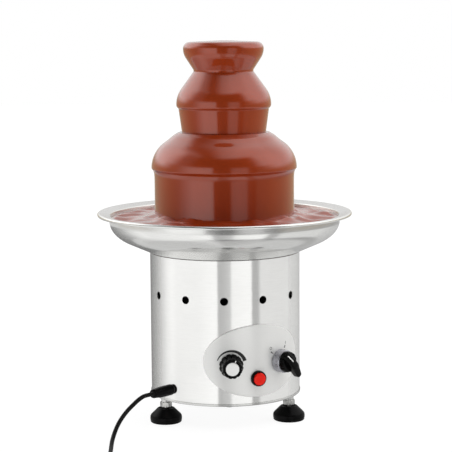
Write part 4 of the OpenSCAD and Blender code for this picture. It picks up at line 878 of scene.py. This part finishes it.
# Push button: a red moulded cap that slides in a black collar, and a spring behind it. The collar goes
# through the panel to the switch. The cap's red is clear and has a weak shine.
button_ring_outline = rounded(np.array([
    (8.0, 88, 0), (8.6, 88, 0), (8.6, 96.4, 0), (9.9, 96.4, 0.2), (9.8, 98.6, 0.8), (9.3, 101, 0.8),
    (8.3, 101, 0.4), (8.0, 100.2, 0.3),
]) * MM)
piece("button_ring", facing(turned(button_ring_outline, 96, closed=True), 0, BUTTON_Z), black_knob, "housing",
      ["button_collar"])
red_moulding = satin("red_moulded_cap", ("#ea160a", "#f02410"), 0.0, (0.16, 0.24), 3.0, shine=0.2)
CAP_R = 7.75 * MM
cap_back = -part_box("button_cap")[1].y
cap_outline = rounded([
    (0, cap_back, 0), (CAP_R, cap_back, 0.2 * MM), (CAP_R, 102.4 * MM, 1.4 * MM),
    (6.3 * MM, 103.2 * MM, 1.4 * MM), (0, 103.4 * MM, 0),
])
piece("button_red", facing(turned(cap_outline, 96), 0, BUTTON_Z), red_moulding, "button", ["button_cap"])

# Bowl: spun from one stainless blank, with a coved wall, a sloping flange and a rolled edge.
# It is bolted to the deck from below, and three pins in its floor locate the tower. Sizes are in mm.
BOWL_Z = 204.17
BOWL_R = 146.0
BOWL_WALL = 1.0
BRIM_Z = 256.3
WALL_RISE = 6.5
COVE_W, COVE_H = 52.5, 32.0
BOTTOM_SLOPE = np.tan(np.radians(24))
COVE_START = np.arctan(COVE_H / (COVE_W * BOTTOM_SLOPE))
RIM_BEND_R = 0.6
RIM_SLOPE = 14
RIM_LEN = 12.3
RIM_ROLL_R = 2.4
ROLL_END = -40
HUB_HOLE_R = 7


def bowl_face(inset):
    """One face of the bowl from its middle to its rolled edge, in mm: a flat, a slope, an elliptic cove that
    starts along the slope, a straight wall, the bend of the flange and the roll."""
    t = np.linspace(-COVE_START, 0, 40)
    cove_z = BRIM_Z - WALL_RISE
    cove_r = BOWL_R - COVE_W + (COVE_W - inset) * np.cos(t)
    cove = np.column_stack([cove_r, cove_z + (COVE_H - inset) * np.sin(t)])
    flat_r = cove[0, 0] - (cove[0, 1] - BOWL_Z - inset) / BOTTOM_SLOPE
    turn = 90 + RIM_SLOPE
    bend_at = np.array([BOWL_R + RIM_BEND_R, BRIM_Z])
    up = np.array([np.cos(np.radians(turn)), np.sin(np.radians(turn))])
    out = np.array([np.cos(np.radians(RIM_SLOPE)), np.sin(np.radians(RIM_SLOPE))])
    roll_at = bend_at + (RIM_BEND_R + BOWL_WALL - RIM_ROLL_R) * up + RIM_LEN * out
    bend = arc(bend_at, RIM_BEND_R + inset, 180, turn, 12)
    roll = arc(roll_at, RIM_ROLL_R - BOWL_WALL + inset, turn, ROLL_END, 24)
    flange = bend[-1] + np.linspace(0, 1, 8)[1:-1, None] * (roll[0] - bend[-1])
    floor_r = np.linspace(HUB_HOLE_R, flat_r, 12)
    bottom = np.column_stack([floor_r, 0 * floor_r + BOWL_Z + inset])
    slope = bottom[-1] + np.linspace(0, 1, 12)[1:-1, None] * (cove[0] - bottom[-1])
    wall = cove[-1] + np.linspace(0, 1, 5)[1:-1, None] * (bend[0] - cove[-1])
    return np.vstack([bottom, slope, cove, wall, bend, flange, roll])


spun_steel = brushed_stainless("spun_stainless_bowl", ("#d2d2d0", "#dededc"), 0.80, (0.13, 0.18), 0.5,
                               (0.06, 0.06, 1), 0.015)
bowl_loop = np.vstack([bowl_face(0), bowl_face(BOWL_WALL)[::-1]]) * MM
PIN_RING_R = 30 * MM
pin_up = rounded(np.array([(0, 204.6, 0), (3, 204.6, 0), (3, 215.17, 0.8), (0, 215.17, 0)]) * MM)
locators = [shifted(turned(pin_up, 32), unit(at) * PIN_RING_R) for at in feet.values()]
bowl_shape = joined(turned(bowl_loop, 256, closed=True), *locators)
bowl_skin = piece("bowl_spinning", bowl_shape, spun_steel, "housing", ["bowl"], sharp=40)
# Its bright flange stays out of what the chocolate mirrors
bowl_skin.visible_glossy = False

# Inside the housing: motor, gearbox, heater and switches, made of plain working materials that look dull
# grey, bronze, ivory or black. They are seen only through the cooling holes or when a part is lifted off, so
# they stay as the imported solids.
nylon = satin("ivory_nylon", ("#d9d2bd", "#e2dcc9"), 0.0, (0.42, 0.5), 2.0)
bronze = plated("sintered_bronze", ("#8d6a36", "#a17d45"), (0.35, 0.5), 1.5)
cast_metal = plated("cast_aluminium", ("#9b9c9d", "#b1b2b2"), (0.4, 0.55), 2.0)
motor_steel = plated("painted_motor_steel", ("#4b4d50", "#5a5c5f"), (0.4, 0.5), 3.0)
laminations = plated("laminated_iron", ("#5d5856", "#716c69"), (0.45, 0.6), 0.8)
turned_steel = plated("turned_stainless", ("#bdbdbb", "#d2d2d0"), (0.18, 0.3), 3.0)
switch_case = moulded_black("black_switch_case", ("#1c1c1d", "#262627"), (0.5, 0.62), 0.8, 0.05)
FINISHES = {
    nylon: ["output_gear", "idler_cluster", "cooling_fan", "terminal_block"],
    bronze: ["shaft_bushes"],
    cast_metal: ["gearbox_case", "gearbox_cover", "heater_clamp"],
    motor_steel: ["motor_can", "motor_end_cover"],
    laminations: ["motor_stator", "rotor_core"],
    turned_steel: ["output_shaft", "idler_pin", "motor_shaft", "bowl_hub", "auger_core", "auger_blade"],
    zinc_plate: ["base_screws", "deck_plate", "bowl_bolts", "bowl_spacers", "gearbox_screws", "heater_ring"],
    sheet_steel: ["auger_tube", "lower_tier", "middle_tier", "crown_cup"],
    switch_case: ["thermostat_body", "selector_body", "button_switch", "shaft_seal", "thermal_cutout"],
}
for material, names in FINISHES.items():
    for name in names:
        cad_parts[name].data.materials.clear()
        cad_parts[name].data.materials.append(material)

# Chocolate: melted milk chocolate kept at about 45 degrees. It stands in the bowl, is lifted by the auger,
# wells up in the crown and falls in a curtain from each tier. It gives the eye a warm brown under a wet
# gloss, with slow swirls of a second brown that are drawn out downwards.
chocolate, tree, place = finish("melted_milk_chocolate", {
    "Metallic": 0.2, "Roughness": 0.36, "Specular IOR Level": 0.10, "Coat Weight": 1.0,
    "Coat Roughness": 0.06,
})
drawn = add(tree, "Mapping", {"Vector": place, "Scale": (1, 1, 0.25)})
swirl = add(tree, "TexNoise", {"Vector": drawn.outputs[0], "Scale": 1 / (22 * MM), "Detail": 3.0})
browns = {0: swirl.outputs[0], 6: linear("#95330c"), 7: linear("#9f3910")}
tint = add(tree, "Mix", browns, data_type="RGBA")
tree.links.new(tint.outputs[2], tree.nodes["Principled BSDF"].inputs["Base Color"])
# Sizes are in mm. A tier is its edge's radius and height, its bend's radius and its lean in degrees.
LOWER_R, LOWER_Z = 92.1, 316.11
LOWER_TIER = (LOWER_R, LOWER_Z, 39.3, 54)
MIDDLE_R, MIDDLE_Z = 59.9, 395.67
MIDDLE_TIER = (MIDDLE_R, MIDDLE_Z, 34.0, 36)
CROWN_R, CROWN_Z, CROWN_ROUND, CROWN_LEAN = 50.7, 465.77, 22.0, 33
CROWN_LIP = 8.5
CROWN_TOP = CROWN_Z + CROWN_LIP
POOL_Z = 252.27
FILM_T = 2.4
CURTAIN_T = 3.0


def shoulder(tier, top_r, grow=0):
    """The side of a covered tier from its edge: an arc from the vertical, then a cone up to top_r."""
    edge_r, edge_z, bend, lean = tier
    side = arc((edge_r - bend, edge_z), bend + grow, 0, lean, 40)
    end = side[-1]
    cone_r = np.linspace(end[0], top_r, 16)[1:]
    return np.vstack([side, np.column_stack([cone_r, end[1] + (end[0] - cone_r) / np.tan(np.radians(lean))])])


def flare(low_z, grow):
    """The side of the crown: a straight cone from low_z, then an arc up to the vertical."""
    side = arc((CROWN_R - CROWN_ROUND, CROWN_Z), CROWN_ROUND + grow, -CROWN_LEAN, 0, 30)
    start = side[0]
    return np.vstack([(start[0] - (start[1] - low_z) * np.tan(np.radians(CROWN_LEAN)), low_z), side])


def fall(sheet, top, tier, film_top, neck):
    """A closed outline: up the outside of a sheet, over its tier to the neck, and back under the film."""
    under = shoulder(tier, film_top, -FILM_T)
    return np.vstack([sheet, top, neck, neck - [0, FILM_T], under[::-1], sheet[::-1] - [CURTAIN_T, 0]])


def softened(loop, spacing, reach):
    """A closed outline resampled at even spacing and averaged over a reach, which rounds its corners."""
    ring = np.vstack([loop, loop[:1]])
    s = np.concatenate([[0], np.cumsum(np.linalg.norm(np.diff(ring, axis=0), axis=1))])
    even = np.linspace(0, s[-1], int(s[-1] / spacing), endpoint=False)
    line = np.column_stack([np.interp(even, s, ring[:, k]) for k in (0, 1)])
    n = max(1, int(reach / spacing))
    return sum(np.roll(line, k, axis=0) for k in range(-n, n + 1)) / (2 * n + 1)


def poured(loop, sway, seed, steps=288):
    """A closed outline turned round Z, with slow waves in its radius as the chocolate runs unevenly:
    r + sway * sum of sin(n t + phase + z / length) / sqrt(n)."""
    r, z = loop.T
    t = circle(steps)
    phase = np.random.default_rng(seed).uniform(0, 2 * np.pi, 6)
    wave = sum(np.sin(n * t + p + z / (18 + 5 * n)) / np.sqrt(n) for n, p in zip((2, 3, 5, 7, 11, 17), phase))
    points = around(r + sway * wave, z, t).reshape(-1, 3) * MM
    return points, grid_faces(steps, len(r), close_rows=True, close_columns=True)


# The lower sheet draws in below the edge by exp(-drop / LOWER_DRAW)
LOWER_FOOT_R = 88.4
LOWER_DRAW = 3.2
LOWER_FILM_TOP, LOWER_NECK_R = 57.5, 48
lower_z = np.linspace(POOL_Z - 0.6, LOWER_Z - 0.5, 60)
lower_r = LOWER_FOOT_R + (LOWER_R - LOWER_FOOT_R) * np.exp((lower_z - LOWER_Z) / LOWER_DRAW)
lower_sheet = np.column_stack([lower_r, lower_z])
lower_top = shoulder(LOWER_TIER, LOWER_FILM_TOP)
# The chocolate heaps a little round the place where the middle sheet lands
LANDING_H, LANDING_R, LANDING_W = 0.7, 64, 4
lower_top[:, 1] += LANDING_H * np.exp(-((lower_top[:, 0] - LANDING_R) / LANDING_W) ** 2)
landing = lower_top[-1, 1] + 0.2
lower_loop = fall(lower_sheet, lower_top, LOWER_TIER, LOWER_FILM_TOP, np.array([LOWER_NECK_R, landing]))
# The middle sheet hangs over in a small round, with a crease under it, and then falls straight
MIDDLE_CREASE_R, MIDDLE_CREASE_Z, MIDDLE_FOOT_R = 57.4, 391.2, 53.1
MIDDLE_FILM_TOP, MIDDLE_NECK_R = 36.5, 34
UNDER_R = 5.0
UNDER_TURN = 62
middle_sheet = np.vstack([
    (MIDDLE_FOOT_R, landing - 0.8), (MIDDLE_CREASE_R - 0.4, MIDDLE_CREASE_Z - 1.5),
    (MIDDLE_CREASE_R - 0.3, MIDDLE_CREASE_Z),
    arc((MIDDLE_R - UNDER_R, MIDDLE_Z), UNDER_R, -UNDER_TURN, -4, 10),
])
middle_top = shoulder(MIDDLE_TIER, MIDDLE_FILM_TOP)
neck_z = middle_top[-1, 1] + 0.2
middle_loop = fall(middle_sheet, middle_top, MIDDLE_TIER, MIDDLE_FILM_TOP, np.array([MIDDLE_NECK_R, neck_z]))
# The crown swells over the rim of its cup and closes round the tube
crown_foot = neck_z - 6
crown_low = CROWN_Z - 26.5
CROWN_BORE_R, CROWN_TUBE_R = 22.0, 23.8
crown_loop = np.vstack([
    (37.8, crown_foot), flare(crown_low, 0), arc((CROWN_R - CROWN_LIP, CROWN_Z), CROWN_LIP, 4, 90, 16),
    (30, CROWN_TOP + 0.7), (CROWN_BORE_R, CROWN_TOP + 1.0), (CROWN_BORE_R, CROWN_Z - 9.3),
    (CROWN_TUBE_R, CROWN_Z - 9.3), (CROWN_TUBE_R, CROWN_Z - 23.5), flare(crown_low, -FILM_T)[0],
    (35.4, crown_foot),
])
for name, node, loop, spacing, reach, sway, seed in (
    ("lower_curtain", "chocolate_lower_fall", lower_loop, 0.7, 0.8, 0.10, 3),
    ("middle_curtain", "chocolate_middle_fall", middle_loop, 0.6, 0.7, 0.09, 5),
    ("crown_swell", "chocolate_crown", crown_loop, 0.6, 0.8, 0.06, 8),
):
    piece(name, poured(softened(loop, spacing, reach), sway, seed), chocolate, "tower", [node],
          sharp=180)
WELL_R = 21.4
well_outline = rounded(np.array([
    (0, CROWN_Z + 1, 0), (WELL_R, CROWN_Z + 1, 0.3), (WELL_R, CROWN_TOP + 1, 0.8), (11, CROWN_TOP + 1.6, 5),
    (0, CROWN_TOP + 1.8, 0),
]) * MM)
piece("crown_well", turned(well_outline, 128), chocolate, "auger", ["chocolate_well"], sharp=60)
POOL_IN_R, POOL_EDGE_R = 38, 144.4
POOL_STEPS = 360
BED_GAP = 0.3
HEAP_H, HEAP_OUT, HEAP_IN = 6.3, 17, 8
FOLD_H, FOLD_W = 0.5, 7
RING_H, RING_OUT, RING_W = 0.7, 10, 2.2
EDGE_FADE = 6
pool_draw = np.random.default_rng(21)
POOL_WAVES = [(*pool_draw.uniform((18, 0, 0), (42, 2 * np.pi, 2 * np.pi)),) for _ in range(9)]


def pool_top(r, t):
    """Height of the pool: a heap of folds where the curtain lands, a ring outside it, and a few plane waves
    that cross, each with its length, heading and phase. r in mm."""
    out = r - LOWER_FOOT_R
    x, y = r * np.cos(t), r * np.sin(t)
    waves = sum(np.sin(2 * np.pi / w * (x * np.cos(h) + y * np.sin(h)) + p) * w / 80
                for w, h, p in POOL_WAVES)
    uneven = 1 + 0.3 * np.sin(11 * t + 0.5) + 0.25 * np.sin(19 * t + out / 3)
    heap = HEAP_H * np.exp(-(np.abs(out) / np.where(out > 0, HEAP_OUT, HEAP_IN)) ** 1.6)
    heap = heap + FOLD_H * uneven * np.exp(-(out / FOLD_W) ** 2)
    ring = RING_H * np.exp(-((out - RING_OUT - 1.6 * np.sin(7 * t) - np.sin(13 * t + 1)) / RING_W) ** 2)
    fade = np.clip((POOL_EDGE_R - 0.5 - r) / EDGE_FADE, 0, 1)
    return POOL_Z + (waves + ring) * fade + heap


pool_r = np.concatenate([np.linspace(POOL_IN_R, 84, 10), np.linspace(86, POOL_EDGE_R, 100)])
t = circle(POOL_STEPS)
bed = bowl_face(BOWL_WALL + BED_GAP)
bed = bed[(bed[:, 0] > POOL_IN_R) & (bed[:, 1] < POOL_Z - 0.4) & (bed[:, 0] < BOWL_R)][::-1]
bed = np.vstack([bed, (POOL_IN_R, BOWL_Z + BOWL_WALL + BED_GAP)])
pool_points = np.hstack([around(pool_r, pool_top(pool_r, t), t), around(*bed.T, t)]) * MM
pool_faces = grid_faces(POOL_STEPS, pool_points.shape[1], close_rows=True, close_columns=True)
piece("chocolate_bath", (pool_points.reshape(-1, 3), pool_faces), chocolate, "housing", ["chocolate_pool"],
      sharp=50)
